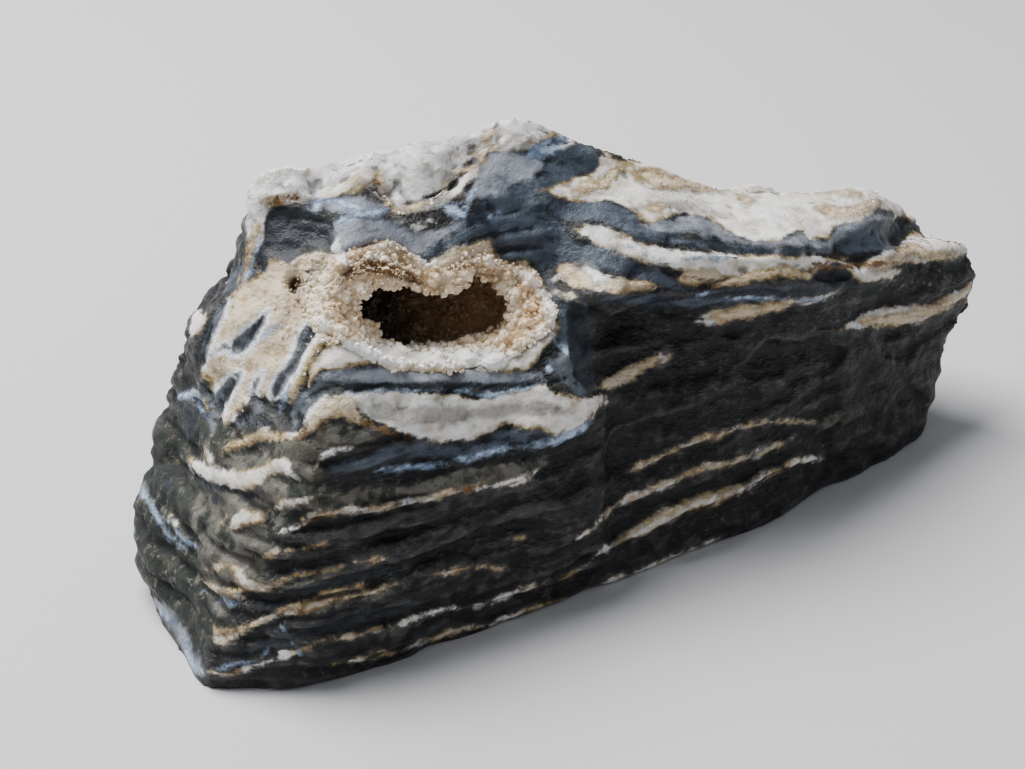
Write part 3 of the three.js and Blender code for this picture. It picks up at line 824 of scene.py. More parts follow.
@dataclass(frozen=True)
class Bed:
    """One layer of the stone where the picture doesn't show it."""

    tone: Tone
    level: float
    half: float
    broken: float = 0.4


@dataclass(frozen=True)
class Beds:
    """The stone's layering, which runs on round the sides that the picture doesn't show."""

    top: float = 52.0
    fall_start: float = -7.75
    fall: float = 0.34
    warp: float = 2.3
    bends: Roughness3D = Roughness3D(5, 30.0, 2)
    ripple: float = 0.3
    ripples: Roughness3D = Roughness3D(6, 9.0, 3)
    first_seed: int = 40
    broken_size: float = 16.0
    outside: float = -2.0
    layers: tuple[Bed, ...] = (
        Bed(Tone.CREAM, 1.3, 0.12, 0.5),
        Bed(Tone.CREAM, 5.6, 0.15, 0.6),
        Bed(Tone.TAN, 6.1, 0.05, 0.5),
        Bed(Tone.CREAM, 10.4, 0.2, 0.7),
        Bed(Tone.TAN, 10.9, 0.15, 0.7),
        Bed(Tone.ASH, 12.6, 0.3, 1.4),
        Bed(Tone.CREAM, 14.8, -0.1, 0.9),
        Bed(Tone.TAN, 17.6, -0.05, 0.6),
        Bed(Tone.ASH, 18.6, 0.6, 1.4),
        Bed(Tone.CREAM, 20.3, 0.1, 0.8),
        Bed(Tone.NAVY, 22.4, 0.5, 1.0),
        Bed(Tone.ICE, 23.6, 0.0, 0.6),
        Bed(Tone.CREAM, 26.0, 0.5, 1.0),
        Bed(Tone.VEIL, 26.2, 0.2, 0.8),
        Bed(Tone.SMOKE, 28.2, 0.2, 1.2),
        Bed(Tone.CREAM, 29.6, 0.1, 0.9),
        Bed(Tone.NAVY, 33.8, 1.2, 2.0),
        Bed(Tone.SMOKE, 32.2, 0.3, 1.6),
        Bed(Tone.CREAM, 36.4, 0.5, 1.3),
        Bed(Tone.TAN, 37.2, 0.3, 1.0),
        Bed(Tone.NAVY, 40.0, 1.6, 1.6),
        Bed(Tone.CREAM, 42.6, 0.6, 1.1),
        Bed(Tone.TAN, 43.2, 0.3, 1.0),
        Bed(Tone.SMOKE, 45.0, 0.5, 1.4),
        Bed(Tone.GRAINY, 48.6, 1.4, 2.0),
        Bed(Tone.CREAM, 52.6, 5.2, 1.6),
    )

    def level(self, points: np.ndarray) -> np.ndarray:
        """Tells which layer a place is in.

        Args:
            points: Places in millimetres, one row each.

        Returns:
            Heights in the stack of layers, in millimetres at its thick end.
        """
        height = self.top - self.fall * np.maximum(points[:, 0] - self.fall_start, 0.0)
        bend = self.bends.at(points) + self.ripple * self.ripples.at(points)
        return points[:, 2] * self.top / height + self.warp * bend

    def depth_inside(self, tone: Tone, points: np.ndarray, level: np.ndarray) -> np.ndarray:
        """Measures how far inside a tone's layers each place lies.

        Args:
            tone: The colour asked for.
            points: Places in millimetres, one row each.
            level: Each place's height in the layers.

        Returns:
            Millimetres inside the nearest layer, below nought outside.
        """
        best = np.full(len(points), self.outside)
        for number, bed in enumerate(self.layers):
            if bed.tone is tone:
                ragged = Roughness3D(self.first_seed + number, self.broken_size, 3)
                half = bed.half + bed.broken * ragged.at(points)
                best = np.maximum(best, half - np.abs(level - bed.level))
        return best


def gathered(items: bpy.types.bpy_prop_collection, name: str, width: int = 1) -> np.ndarray:
    """Reads one value of every point, edge or face of a mesh.

    Args:
        items: The points, edges or faces.
        name: The value's name.
        width: How many numbers it has.

    Returns:
        The numbers, in rows where the value has more than one.
    """
    values = np.empty(len(items) * width)
    items.foreach_get(name, values)
    return values.reshape(-1, width) if width > 1 else values


@dataclass
class SurfaceMesh:
    """A mesh's points and directions as arrays, in millimetres."""

    mesh: bpy.types.Mesh
    points: np.ndarray = field(init=False)
    normals: np.ndarray = field(init=False)

    def __post_init__(self) -> None:
        """Reads the mesh."""
        self.read()

    def read(self) -> None:
        """Reads the points and directions from the mesh."""
        self.points = gathered(self.mesh.vertices, "co", 3) / MILLIMETRE
        self.normals = gathered(self.mesh.vertex_normals, "vector", 3)

    def write(self) -> None:
        """Puts the points back and reads the new directions."""
        self.mesh.vertices.foreach_set("co", (self.points * MILLIMETRE).ravel())
        self.mesh.update()
        self.read()

    def store(self, name: str, values: np.ndarray) -> None:
        """Keeps one number or one vector for each point.

        Args:
            name: The attribute's name.
            values: One row for each point.
        """
        kind = "FLOAT_VECTOR" if values.ndim > 1 else "FLOAT"
        slot = "vector" if values.ndim > 1 else "value"
        attribute = self.mesh.attributes.new(name, kind, "POINT")
        attribute.data.foreach_set(slot, values.astype(np.float32).ravel())

    def softened(self, rounds: int) -> np.ndarray:
        """Evens the surface out.

        Args:
            rounds: How many times each point moves to the middle of its neighbours.

        Returns:
            The evened points.
        """
        first, second = gathered(self.mesh.edges, "vertices", 2).astype(int).T
        origin = np.concatenate([first, second])
        target = np.concatenate([second, first])
        count = len(self.points)
        share = np.maximum(np.bincount(origin, minlength=count), 1)
        points = self.points.copy()
        for _ in range(rounds):
            for axis in range(3):
                total = np.bincount(origin, points[target, axis], count)
                points[:, axis] = 0.5 * points[:, axis] + 0.5 * total / share
        return points


@dataclass(frozen=True)
class Painter:
    """Works out each tone's share of a surface and keeps it with the mesh."""

    drawing: BandDrawing
    beds: Beds
    pixel: float = 0.15
    edge_on: float = 0.04
    square: float = 0.22
    foot_thinning: float = 0.10
    foot_zone: Span = (24.0, 17.0)
    bed_stretch: float = 0.4
    even_rounds: int = 5

    def depths(self, surface: SurfaceMesh) -> dict[Tone, np.ndarray]:
        """Measures every tone on a surface.

        Args:
            surface: The surface to paint.

        Returns:
            Millimetres inside each tone's shapes, below nought outside.
        """
        station = self.drawing.station
        seen = ease(self.edge_on, self.square, station.facing(surface.points, surface.normals))
        pixels = station.pixels(surface.points)
        level = self.beds.level(surface.points)
        found = {}
        for tone in Tone:
            drawn = self.drawing.depth_inside(tone, pixels) * self.pixel
            guessed = self.beds.depth_inside(tone, surface.points, level)
            found[tone] = seen * drawn + (1.0 - seen) * guessed
        for tone in (Tone.CREAM, Tone.TAN):
            found[tone] -= self.foot_thinning * ease(*self.foot_zone, surface.points[:, 2])
        return found

    def paint(self, surface: SurfaceMesh) -> None:
        """Keeps with the mesh every tone, the layers and how far each point stands out, for the painted edge
        highlights and crevice shade.

        Args:
            surface: The surface to paint.
        """
        for tone, depth in self.depths(surface).items():
            surface.store(tone.value, depth)
        level = self.beds.level(surface.points)
        surface.store("bed", np.column_stack([surface.points[:, :2] * self.bed_stretch, level]))
        # how far each point stands out: the stone's material paints highlights where it stands out and shade
        # where it sinks
        stand = ((surface.points - surface.softened(self.even_rounds)) * surface.normals).sum(axis=1)
        surface.store("stand", stand)


def new_object(name: str, mesh: bpy.types.Mesh) -> bpy.types.Object:
    """Puts a mesh into the scene at the origin.

    Args:
        name: The piece's name.
        mesh: Its mesh.

    Returns:
        The new object.
    """
    made = bpy.data.objects.new(name, mesh)
    bpy.context.scene.collection.objects.link(made)
    return made


def merged_copy(node: str) -> bpy.types.Mesh:
    """Copies a node's mesh and joins its loose triangles.

    Args:
        node: The node's name.

    Returns:
        A closed copy.
    """
    work = bmesh.new()
    work.from_mesh(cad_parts[node].data)
    bmesh.ops.remove_doubles(work, verts=work.verts, dist=WELD_GAP)
    mesh = bpy.data.meshes.new(node + "_copy")
    work.to_mesh(mesh)
    work.free()
    return mesh


def rebuilt(node: str, voxel: float, rounds: int) -> bpy.types.Mesh:
    """Makes a fine, even mesh of a node's shape.

    Args:
        node: The node's name.
        voxel: The size of the new faces, in millimetres.
        rounds: How many times the surface is evened out.

    Returns:
        The fine mesh.
    """
    rough = new_object(node + "_rough", merged_copy(node))
    remesh = rough.modifiers.new("even", "REMESH")
    remesh.mode = "VOXEL"
    remesh.voxel_size = voxel * MILLIMETRE
    smooth = rough.modifiers.new("soft", "SMOOTH")
    smooth.iterations = rounds
    smooth.factor = 0.5
    graph = bpy.context.evaluated_depsgraph_get()
    mesh = bpy.data.meshes.new_from_object(rough.evaluated_get(graph))
    bpy.data.objects.remove(rough)
    return mesh


class Weaver:
    """Joins shader nodes for one material."""

    def __init__(self, name: str) -> None:
        """Starts a material.

        Args:
            name: The material's name.
        """
        self.material = bpy.data.materials.new(name)
        self.material.use_nodes = True
        self.tree = self.material.node_tree
        self.shader = self.tree.nodes["Principled BSDF"]
        self.place = self.tree.nodes.new("ShaderNodeTexCoord").outputs["Object"]

    def feed(self, socket: Socket, value: Fed) -> None:
        """Joins a socket, or sets its value.

        Args:
            socket: The input.
            value: Another node's output, a number or a colour.
        """
        if isinstance(value, bpy.types.NodeSocket):
            self.tree.links.new(value, socket)
        elif isinstance(value, tuple) and socket.type == "RGBA":
            socket.default_value = (*value, 1.0)
        else:
            socket.default_value = value

    def node(self, kind: str, output: Key, inputs: Mapping[Key, Fed], **options: str) -> Socket:
        """Adds a shader node.

        Args:
            kind: The end of its type's name.
            output: The output that is wanted.
            inputs: What goes into each input.
            options: Its settings.

        Returns:
            The output.
        """
        made = self.tree.nodes.new("ShaderNode" + kind)
        for name, option in options.items():
            setattr(made, name, option)
        for name, value in inputs.items():
            self.feed(made.inputs[name], value)
        return made.outputs[output]

    def finish(self, colour: Fed, roughness: Fed, relief: Optional[Socket] = None) -> bpy.types.Material:
        """Gives the shader its colour, roughness and relief.

        Args:
            colour: The base colour.
            roughness: How dull it is.
            relief: The fine relief, if there is one.

        Returns:
            The finished material.
        """
        self.feed(self.shader.inputs["Base Color"], colour)
        self.feed(self.shader.inputs["Roughness"], roughness)
        if relief is not None:
            self.feed(self.shader.inputs["Normal"], relief)
        return self.material

    def attribute(self, name: str, output: str = "Fac") -> Socket:
        """Reads a value kept with the mesh."""
        return self.node("Attribute", output, {}, attribute_name=name)

    def noise(self, scale: float, detail: float, rough: float, at: Optional[Socket] = None) -> Socket:
        """Makes a noise pattern, from nought to one, on the object's own coordinates or others."""
        inputs = {"Vector": self.place if at is None else at, "Scale": scale, "Detail": detail}
        return self.node("TexNoise", "Fac", {**inputs, "Roughness": rough})

    def cells(self, scale: float) -> Socket:
        """Makes a pattern of cells, which rises from the middle of each."""
        return self.node("TexVoronoi", "Distance", {"Vector": self.place, "Scale": scale})

    def times(self, first: Fed, second: Fed) -> Socket:
        """Multiplies two numbers."""
        return self.node("Math", 0, {0: first, 1: second}, operation="MULTIPLY")

    def plus(self, first: Fed, second: Fed) -> Socket:
        """Adds two numbers."""
        return self.node("Math", 0, {0: first, 1: second}, operation="ADD")

    def between(self, share: Fed, first: Fed, second: Fed) -> Socket:
        """Mixes two numbers, with this share of the second."""
        return self.node("Mix", 0, {0: share, 2: first, 3: second}, data_type="FLOAT")

    def mix(self, share: Fed, first: Fed, second: Fed, kind: str = "MIX") -> Socket:
        """Mixes two colours, with this share of the second."""
        return self.node("Mix", 2, {0: share, 6: first, 7: second}, data_type="RGBA", blend_type=kind)

    def span(self, value: Fed, low: float, high: float, start: float = 0.0, end: float = 1.0) -> Socket:
        """Turns the numbers from low to high smoothly into those from start to end."""
        inputs = {"Value": value, "From Min": low, "From Max": high, "To Min": start, "To Max": end}
        return self.node("MapRange", "Result", inputs, interpolation_type="SMOOTHSTEP")

    def bump(self, height: Socket, strength: Fed, depth: float, under: Optional[Socket] = None) -> Socket:
        """Adds a fine relief over the one below it.

        Args:
            height: The relief.
            strength: How much of it shows.
            depth: How deep it is, in metres.
            under: The relief below it, if there is one.

        Returns:
            The turned direction.
        """
        inputs = {"Strength": strength, "Distance": depth, "Height": height}
        if under is not None:
            inputs["Normal"] = under
        return self.node("Bump", "Normal", inputs)


class StoneWeaver(Weaver):
    """Joins the stone's shader nodes and holds the patterns that its tones share."""

    def __init__(self, name: str) -> None:
        """Starts the material with coarse and fine layering, broad clouds and small mottling.

        Args:
            name: The material's name.
        """
        super().__init__(name)
        bed = self.attribute("bed", "Vector")
        self.layers = self.noise(0.75, 3.5, 0.52, bed)
        self.thin = self.noise(2.3, 2.0, 0.5, bed)
        self.clouds = self.noise(120.0, 4.0, 0.6)
        self.mottle = self.noise(420.0, 5.0, 0.65)


@dataclass(frozen=True)
class ToneColour:
    """A tone's colours from rim to core, the edge of its bands and how it takes the light."""

    rim: Colour
    deep: Colour
    pale: Colour
    scale: float = 500.0
    ragged: float = 2.0
    soft: float = 0.15
    halo: float = 0.0
    roughness: float = 0.5
    streaks: float = 1.0
    edge: float = 0.55


@dataclass(frozen=True)
class BandedStone:
    """The finish of banded agate: dark host stone with bands of every tone over it."""

    ground_deep: Colour = (0.0025, 0.0028, 0.0034)
    ground_pale: Colour = (0.017, 0.0175, 0.0185)
    ground_lamina: Colour = (0.095, 0.090, 0.086)
    ground_roughness: float = 0.5
    specular: float = 0.28
    halo: Colour = (0.110, 0.098, 0.085)
    ochre: Colour = (0.300, 0.205, 0.075)
    cool: Colour = (0.640, 0.700, 0.780)
    moss_pale: Colour = (0.052, 0.049, 0.034)
    moss_deep: Colour = (0.009, 0.017, 0.012)
    fleck: Colour = (0.300, 0.290, 0.250)
    flecked: float = 0.4
    slit_edge: Colour = (0.830, 0.840, 0.860)
    # painted highlight, screened over the raised edges
    edge_highlight: Colour = (0.17, 0.165, 0.16)
    # painted shade, laid into the crevices
    hollow: Colour = (0.004, 0.004, 0.005)
    tones: Mapping[Tone, ToneColour] = field(default_factory=lambda: {
        Tone.NAVY: ToneColour(
            rim=(0.012, 0.016, 0.022),
            deep=(0.010, 0.016, 0.026),
            pale=(0.070, 0.088, 0.115),
            scale=260, ragged=2.6, soft=0.35, roughness=0.42, streaks=0.3,
        ),
        Tone.ASH: ToneColour(
            rim=(0.008, 0.010, 0.008),
            deep=(0.003, 0.004, 0.004),
            pale=(0.020, 0.025, 0.020),
            scale=380, ragged=3.8, soft=0.6, roughness=0.72, streaks=0.3,
        ),
        Tone.EARTH: ToneColour(
            rim=(0.036, 0.033, 0.027),
            deep=(0.018, 0.017, 0.014),
            pale=(0.138, 0.130, 0.108),
            scale=380, ragged=4.2, soft=0.55, roughness=0.68, streaks=0.3,
        ),
        Tone.SMOKE: ToneColour(
            rim=(0.170, 0.185, 0.220),
            deep=(0.098, 0.110, 0.138),
            pale=(0.285, 0.305, 0.350),
            scale=300, ragged=2.6, soft=0.6, roughness=0.40, streaks=0.12,
        ),
        Tone.GRAINY: ToneColour(
            rim=(0.400, 0.350, 0.290),
            deep=(0.470, 0.450, 0.450),
            pale=(0.840, 0.825, 0.815),
            scale=300, ragged=2.4, soft=0.4, halo=0.2, streaks=0.12,
        ),
        Tone.CREAM: ToneColour(
            rim=(0.330, 0.275, 0.200),
            deep=(0.620, 0.545, 0.415),
            pale=(0.935, 0.915, 0.880),
            scale=420, ragged=2.8, soft=0.3, halo=0.35, roughness=0.48, streaks=0.12, edge=0.32,
        ),
        Tone.VEIL: ToneColour(
            rim=(0.420, 0.395, 0.370),
            deep=(0.200, 0.185, 0.170),
            pale=(0.450, 0.425, 0.400),
            scale=420, ragged=2.4, soft=0.5, roughness=0.42, streaks=0.12,
        ),
        Tone.TAN: ToneColour(
            rim=(0.330, 0.220, 0.095),
            deep=(0.400, 0.270, 0.115),
            pale=(0.730, 0.610, 0.440),
            scale=480, ragged=3.0, soft=0.35, halo=0.4,
        ),
        Tone.ICE: ToneColour(
            rim=(0.100, 0.150, 0.240),
            deep=(0.170, 0.245, 0.390),
            pale=(0.480, 0.590, 0.740),
            scale=460, ragged=2.6, soft=0.4, roughness=0.36,
        ),
        Tone.SLATE: ToneColour(
            rim=(0.085, 0.100, 0.122),
            deep=(0.026, 0.033, 0.042),
            pale=(0.120, 0.138, 0.160),
            scale=320, ragged=1.1, soft=0.3, roughness=0.42, streaks=0.4,
        ),
        Tone.INK: ToneColour(
            rim=(0.024, 0.030, 0.040),
            deep=(0.006, 0.008, 0.012),
            pale=(0.025, 0.030, 0.039),
            scale=420, ragged=1.8, soft=0.25, roughness=0.45, streaks=0.4,
        ),
        Tone.RUST: ToneColour(
            rim=(0.210, 0.110, 0.028),
            deep=(0.020, 0.009, 0.003),
            pale=(0.150, 0.065, 0.016),
            scale=600, ragged=2.6, soft=0.3, roughness=0.45,
        ),
    })

    def make(self) -> bpy.types.Material:
        """Builds the material.

        Returns:
            The banded stone.
        """
        weaver = StoneWeaver("banded_agate")
        colour = self._ground(weaver)
        roughness = self.ground_roughness
        streaks = 1.0
        for number, (tone, look) in enumerate(self.tones.items()):
            fray = self._fray(weaver, look, number)
            depth = weaver.plus(weaver.attribute(tone.value), fray)
            share = weaver.span(depth, -look.soft, look.soft)
            own = self._band(weaver, tone, look, depth)
            if look.halo:
                colour = weaver.mix(weaver.span(depth, -0.9, 0.1, 0.0, look.halo), colour, self.halo)
            colour = weaver.mix(share, colour, own)
            roughness = weaver.between(share, roughness, look.roughness)
            streaks = weaver.between(share, streaks, look.streaks)
        weaver.shader.inputs["Specular IOR Level"].default_value = self.specular
        # painted highlights on raised edges and painted shade in crevices
        colour = self._edge_highlight_and_crevice_shade(weaver, colour, streaks)
        return weaver.finish(colour, roughness, self._relief(weaver, streaks))

    def _ground(self, weaver: StoneWeaver) -> Socket:
        """Colours the host stone.

        Args:
            weaver: The material's nodes.

        Returns:
            The colour.
        """
        blend = weaver.times(weaver.layers, weaver.mottle)
        colour = weaver.mix(weaver.span(blend, 0.15, 0.36), self.ground_deep, self.ground_pale)
        lamina = weaver.times(weaver.span(weaver.thin, 0.54, 0.66), weaver.span(weaver.clouds, 0.42, 0.6))
        lamina = weaver.times(lamina, weaver.span(weaver.mottle, 0.4, 0.6, 0.0, 0.7))
        return weaver.mix(lamina, colour, self.ground_lamina)

    def _fray(self, weaver: StoneWeaver, look: ToneColour, number: int) -> Socket:
        """Makes the raggedness of a tone's edges.

        Args:
            weaver: The material's nodes.
            look: The tone's look.
            number: The tone's place in the order.

        Returns:
            Millimetres by which the edge moves.
        """
        own = weaver.noise(300.0 + 29.0 * number, 5.0, 0.68)
        own = weaver.times(weaver.plus(own, -0.5), look.ragged)
        streak = weaver.plus(weaver.times(weaver.layers, 0.7), weaver.times(weaver.thin, 0.3))
        streak = weaver.times(weaver.plus(streak, -0.5), look.ragged * 0.7)
        return weaver.plus(own, streak)

    def _band(self, weaver: StoneWeaver, tone: Tone, look: ToneColour, depth: Socket) -> Socket:
        """Colours a tone's bands from rim to core.

        Args:
            weaver: The material's nodes.
            tone: The tone.
            look: Its colours and edge.
            depth: Millimetres inside its ragged edge.

        Returns:
            The colour.
        """
        cloud = weaver.noise(look.scale, 5.0, 0.64)
        cloud = weaver.plus(weaver.times(cloud, 0.65), weaver.times(weaver.layers, 0.35))
        own = weaver.mix(weaver.span(cloud, 0.34, 0.56), look.deep, look.pale)
        own = weaver.mix(weaver.span(depth, 0.0, look.edge, 0.7, 0.0), own, look.rim)
        if tone in (Tone.CREAM, Tone.TAN):
            own = self._stained(weaver, own, depth)
        if tone is Tone.CREAM:
            own = self._chilled(weaver, own, depth)
        if tone in (Tone.ASH, Tone.EARTH):
            own = self._mossy(weaver, own)
        if tone is Tone.GRAINY:
            own = weaver.mix(weaver.span(weaver.noise(620.0, 3.0, 0.6), 0.46, 0.38, 0.0, 0.75), own, look.rim)
        if tone is Tone.TAN:
            near_slit = weaver.span(weaver.attribute(Tone.SLATE.value), -0.95, -0.3)
            own = weaver.mix(near_slit, own, self.slit_edge)
        return own

    def _stained(self, weaver: StoneWeaver, colour: Socket, depth: Socket) -> Socket:
        """Stains a band ochre, most of all at its rim."""
        stain = weaver.times(weaver.span(depth, 0.0, 0.9, 1.0, 0.15), weaver.span(weaver.clouds, 0.44, 0.57))
        return weaver.mix(stain, colour, self.ochre)

    def _chilled(self, weaver: StoneWeaver, colour: Socket, depth: Socket) -> Socket:
        """Tints a band blue-white where it isn't stained, most of all at its rim."""
        chill = weaver.times(weaver.span(depth, 0.0, 0.8, 0.7, 0.1), weaver.span(weaver.clouds, 0.46, 0.34))
        return weaver.mix(chill, colour, self.cool)

    def _mossy(self, weaver: StoneWeaver, colour: Socket) -> Socket:
        """Lays green-grey moss tones and pale flecks over a dull band.

        Args:
            weaver: The material's nodes.
            colour: The band's colour.

        Returns:
            The mottled colour.
        """
        moss = weaver.noise(230.0, 5.0, 0.66)
        colour = weaver.mix(weaver.span(moss, 0.54, 0.64, 0.0, 0.8), colour, self.moss_pale)
        colour = weaver.mix(weaver.span(moss, 0.46, 0.36, 0.0, 0.85), colour, self.moss_deep)
        fleck = weaver.span(weaver.noise(640.0, 4.0, 0.7), 0.54, 0.62, 0.0, self.flecked)
        return weaver.mix(weaver.times(fleck, weaver.span(weaver.clouds, 0.42, 0.55)), colour, self.fleck)

    def _edge_highlight_and_crevice_shade(self, weaver: StoneWeaver, colour: Socket, streaks: Fed) -> Socket:
        """Paints highlights on the raised edges and shade in the crevices.

        Args:
            weaver: The material's nodes.
            colour: The stone's colour.
            streaks: How much the layering shows.

        Returns:
            The colour with painted edge highlights and painted crevice shade.
        """
        stand = weaver.attribute("stand")
        # painted highlight on the raised edges
        lit = weaver.times(weaver.span(stand, 0.0, 0.10), weaver.span(weaver.mottle, 0.35, 0.6, 0.08, 0.24))
        colour = weaver.mix(weaver.times(lit, streaks), colour, self.edge_highlight, "SCREEN")
        # painted shade in the crevices
        return weaver.mix(weaver.span(stand, -0.02, -0.14, 0.0, 0.7), colour, self.hollow)

    def _relief(self, weaver: StoneWeaver, streaks: Fed) -> Socket:
        """Makes the fine relief.

        Args:
            weaver: The material's nodes.
            streaks: How much the layering shows.

        Returns:
            The turned direction.
        """
        relief = weaver.bump(weaver.cells(430.0), 0.35, 0.0004)
        relief = weaver.bump(weaver.thin, weaver.times(streaks, 0.3), 0.0009, relief)
        relief = weaver.bump(weaver.layers, weaver.times(streaks, 0.4), 0.0013, relief)
        relief = weaver.bump(weaver.mottle, weaver.between(streaks, 0.35, 0.7), 0.0010, relief)
        return weaver.bump(weaver.noise(1900.0, 4.0, 0.65), 0.5, 0.0003, relief)


@dataclass(frozen=True)
class Druse:
    """The finish of the small quartz crystals that line the pocket."""

    name: str = "druzy_quartz"
    deep: Colour = (0.68, 0.49, 0.29)
    pale: Colour = (0.97, 0.88, 0.72)
    white: Colour = (0.97, 0.96, 0.94)
    grey_deep: Colour = (0.64, 0.62, 0.60)
    grey_pale: Colour = (0.88, 0.86, 0.83)
    honey: Colour = (0.86, 0.62, 0.37)
    amber: Colour = (0.52, 0.32, 0.14)
    # rust brown where the rust tone lies; at the hole's upper lip it is partly painted shade
    lip: Colour = (0.150, 0.080, 0.026)
    # painted shade, near black, deep in the hole
    stain: Colour = (0.022, 0.014, 0.007)
    # painted light, amber, on the hole's right side
    glow: Colour = (0.260, 0.150, 0.065)
    lit_side_start: float = -0.031
    lit_side_end: float = -0.020
    roughness: float = 0.3

    def make(self) -> bpy.types.Material:
        """Builds the material.

        Returns:
            The druse.
        """
        weaver = Weaver(self.name)
        cloud = weaver.times(weaver.noise(330.0, 4.0, 0.6), 0.8)
        cloud = weaver.plus(cloud, weaver.times(weaver.attribute("tint"), 0.2))
        colour = weaver.mix(weaver.span(cloud, 0.3, 0.62), self.deep, self.pale)
        colour = weaver.mix(weaver.span(weaver.attribute(Tone.CREAM.value), -0.6, 0.6), colour, self.white)
        grey = weaver.mix(weaver.span(cloud, 0.3, 0.6), self.grey_deep, self.grey_pale)
        colour = weaver.mix(weaver.span(weaver.attribute(Tone.GRAINY.value), -0.3, 0.3), colour, grey)
        honey = weaver.span(weaver.attribute(Tone.EARTH.value), -0.9, 0.9, 0.0, 0.75)
        colour = weaver.mix(honey, colour, weaver.mix(cloud, self.amber, self.honey))
        # painted shade and light deeper in the hole, by how far inside the mouth each point lies
        hollow = weaver.span(weaver.attribute("hollow"), 0.0, 1.0, 0.0, 0.96)
        colour = weaver.mix(hollow, colour, self._hole_shade_and_light(weaver))
        colour = weaver.mix(weaver.span(weaver.attribute(Tone.RUST.value), -0.5, 0.5), colour, self.lip)
        relief = weaver.bump(weaver.noise(1800.0, 4.0, 0.6), 0.35, 0.0002)
        return weaver.finish(colour, self.roughness, relief)

    def _hole_shade_and_light(self, weaver: Weaver) -> Socket:
        """Paints the hole's inside: painted shade, near black, at its left and painted light, amber, at its
        right.

        Args:
            weaver: The material's nodes.

        Returns:
            The colour.
        """
        side = weaver.tree.nodes.new("ShaderNodeSeparateXYZ")
        weaver.feed(side.inputs[0], weaver.place)
        return weaver.mix(weaver.span(side.outputs[0], self.lit_side_start, self.lit_side_end), self.stain, self.glow)


@dataclass(frozen=True)
class Mouth:
    """The pocket's mouth: where it is and which way leads into the stone."""

    centre: tuple[float, float, float] = (-28.25, -11.5, 38.0)
    inward: tuple[float, float, float] = (0.2, 0.97, -0.14)

    def depth(self, points: np.ndarray) -> np.ndarray:
        """Measures how far inside the mouth each place lies, in millimetres."""
        return (points - np.array(self.centre)) @ np.array(self.inward)

    def away(self, points: np.ndarray) -> np.ndarray:
        """Measures how far from the mouth's middle each place lies, in millimetres."""
        return np.linalg.norm(points - np.array(self.centre), axis=1)


MOUTH = Mouth()


@dataclass(frozen=True)
class Reshaping:
    """Draws parts of a surface out to where the picture shows them."""

    centre: tuple[float, float, float]
    inner: float
    outer: float
    spread: float
    pulls: Mapping[str, tuple[float, float, float, float]]
    hold: float = 0.25

    def moved(self, station: Station, points: np.ndarray) -> np.ndarray:
        """Moves the points near each pull.

        Args:
            station: Where the stone is seen from.
            points: Places in millimetres, one row each.

        Returns:
            The moved places.
        """
        pixels = station.pixels(points)
        shift = np.zeros((len(points), 2))
        total = np.full(len(points), self.hold)
        for column, row, right, down in self.pulls.values():
            gap = ((pixels - (column, row)) ** 2).sum(axis=1)
            weight = np.exp(-gap / (2.0 * self.spread**2))
            shift += weight[:, None] * (right, down)
            total += weight
        near = ease(self.outer, self.inner, np.linalg.norm(points - np.array(self.centre), axis=1))
        shift *= (near / total)[:, None]
        forward, right_axis, up_axis = station.axes()
        scale = (points - np.array(station.position)) @ forward
        scale /= station.lens / station.sensor * station.picture_width
        shift *= scale[:, None]
        return points + shift[:, :1] * right_axis - shift[:, 1:] * up_axis


# Each pull is a column and a row of the picture and the way it moves them, all in pixels.
MOUTH_SHAPE = Reshaping(centre=MOUTH.centre, inner=11.0, outer=19.0, spread=19.0, pulls={
    "left_lobe": (381, 292, -28, 0),
    "left_top": (400, 273, -10, -3),
    "notch": (434, 266, 2, 44),
    "right_top": (474, 268, 4, 10),
    "right_lobe": (503, 292, 6, 9),
    "right_foot": (482, 318, 4, 17),
    "middle_foot": (442, 325, 0, 17),
    "left_foot": (402, 315, -12, 26),
})
OUTLINE_SHAPE = Reshaping(centre=(0.0, 0.0, 25.0), inner=90.0, outer=100.0, spread=26.0, pulls={
    "left_foot": (152, 621, 20, 0),
    "left_corner": (122, 540, -3, 0),
    "left_low": (136, 441, 18, 0),
    "left_middle": (150, 400, 18, 0),
    "left_upper": (172, 361, 8, 0),
    "left_tip": (184, 318, 2, 0),
    "left_high": (218, 258, 15, 7),
    "left_shoulder": (236, 222, 9, 3),
    "nub": (262, 172, 0, 5),
    "nub_right": (290, 158, 0, 10),
    "nub_saddle": (314, 166, 0, 8),
    "crown_left": (331, 152, 1, 12),
    "crown_middle": (365, 143, 1, 10),
    "crown_right": (398, 138, 1, 8),
    "crown_saddle": (431, 129, 1, 17),
    "crown_rise": (458, 124, 1, 17),
    "peak_left": (487, 118, 0, 0),
    "peak": (520, 116, 0, 2),
    "shelf_left": (598, 146, 0, 5),
    "shelf_middle": (746, 178, 0, 8),
    "shelf_far": (843, 178, 0, 9),
    "shelf_end": (890, 192, 3, -6),
    "lobe": (928, 226, -2, 11),
})


def fitted(station: Station, points: np.ndarray) -> np.ndarray:
    """Draws a surface out to the picture's mouth and then to its skyline.

    Args:
        station: Where the stone is seen from.
        points: Places in millimetres, one row each.

    Returns:
        The moved places.
    """
    return OUTLINE_SHAPE.moved(station, MOUTH_SHAPE.moved(station, points))


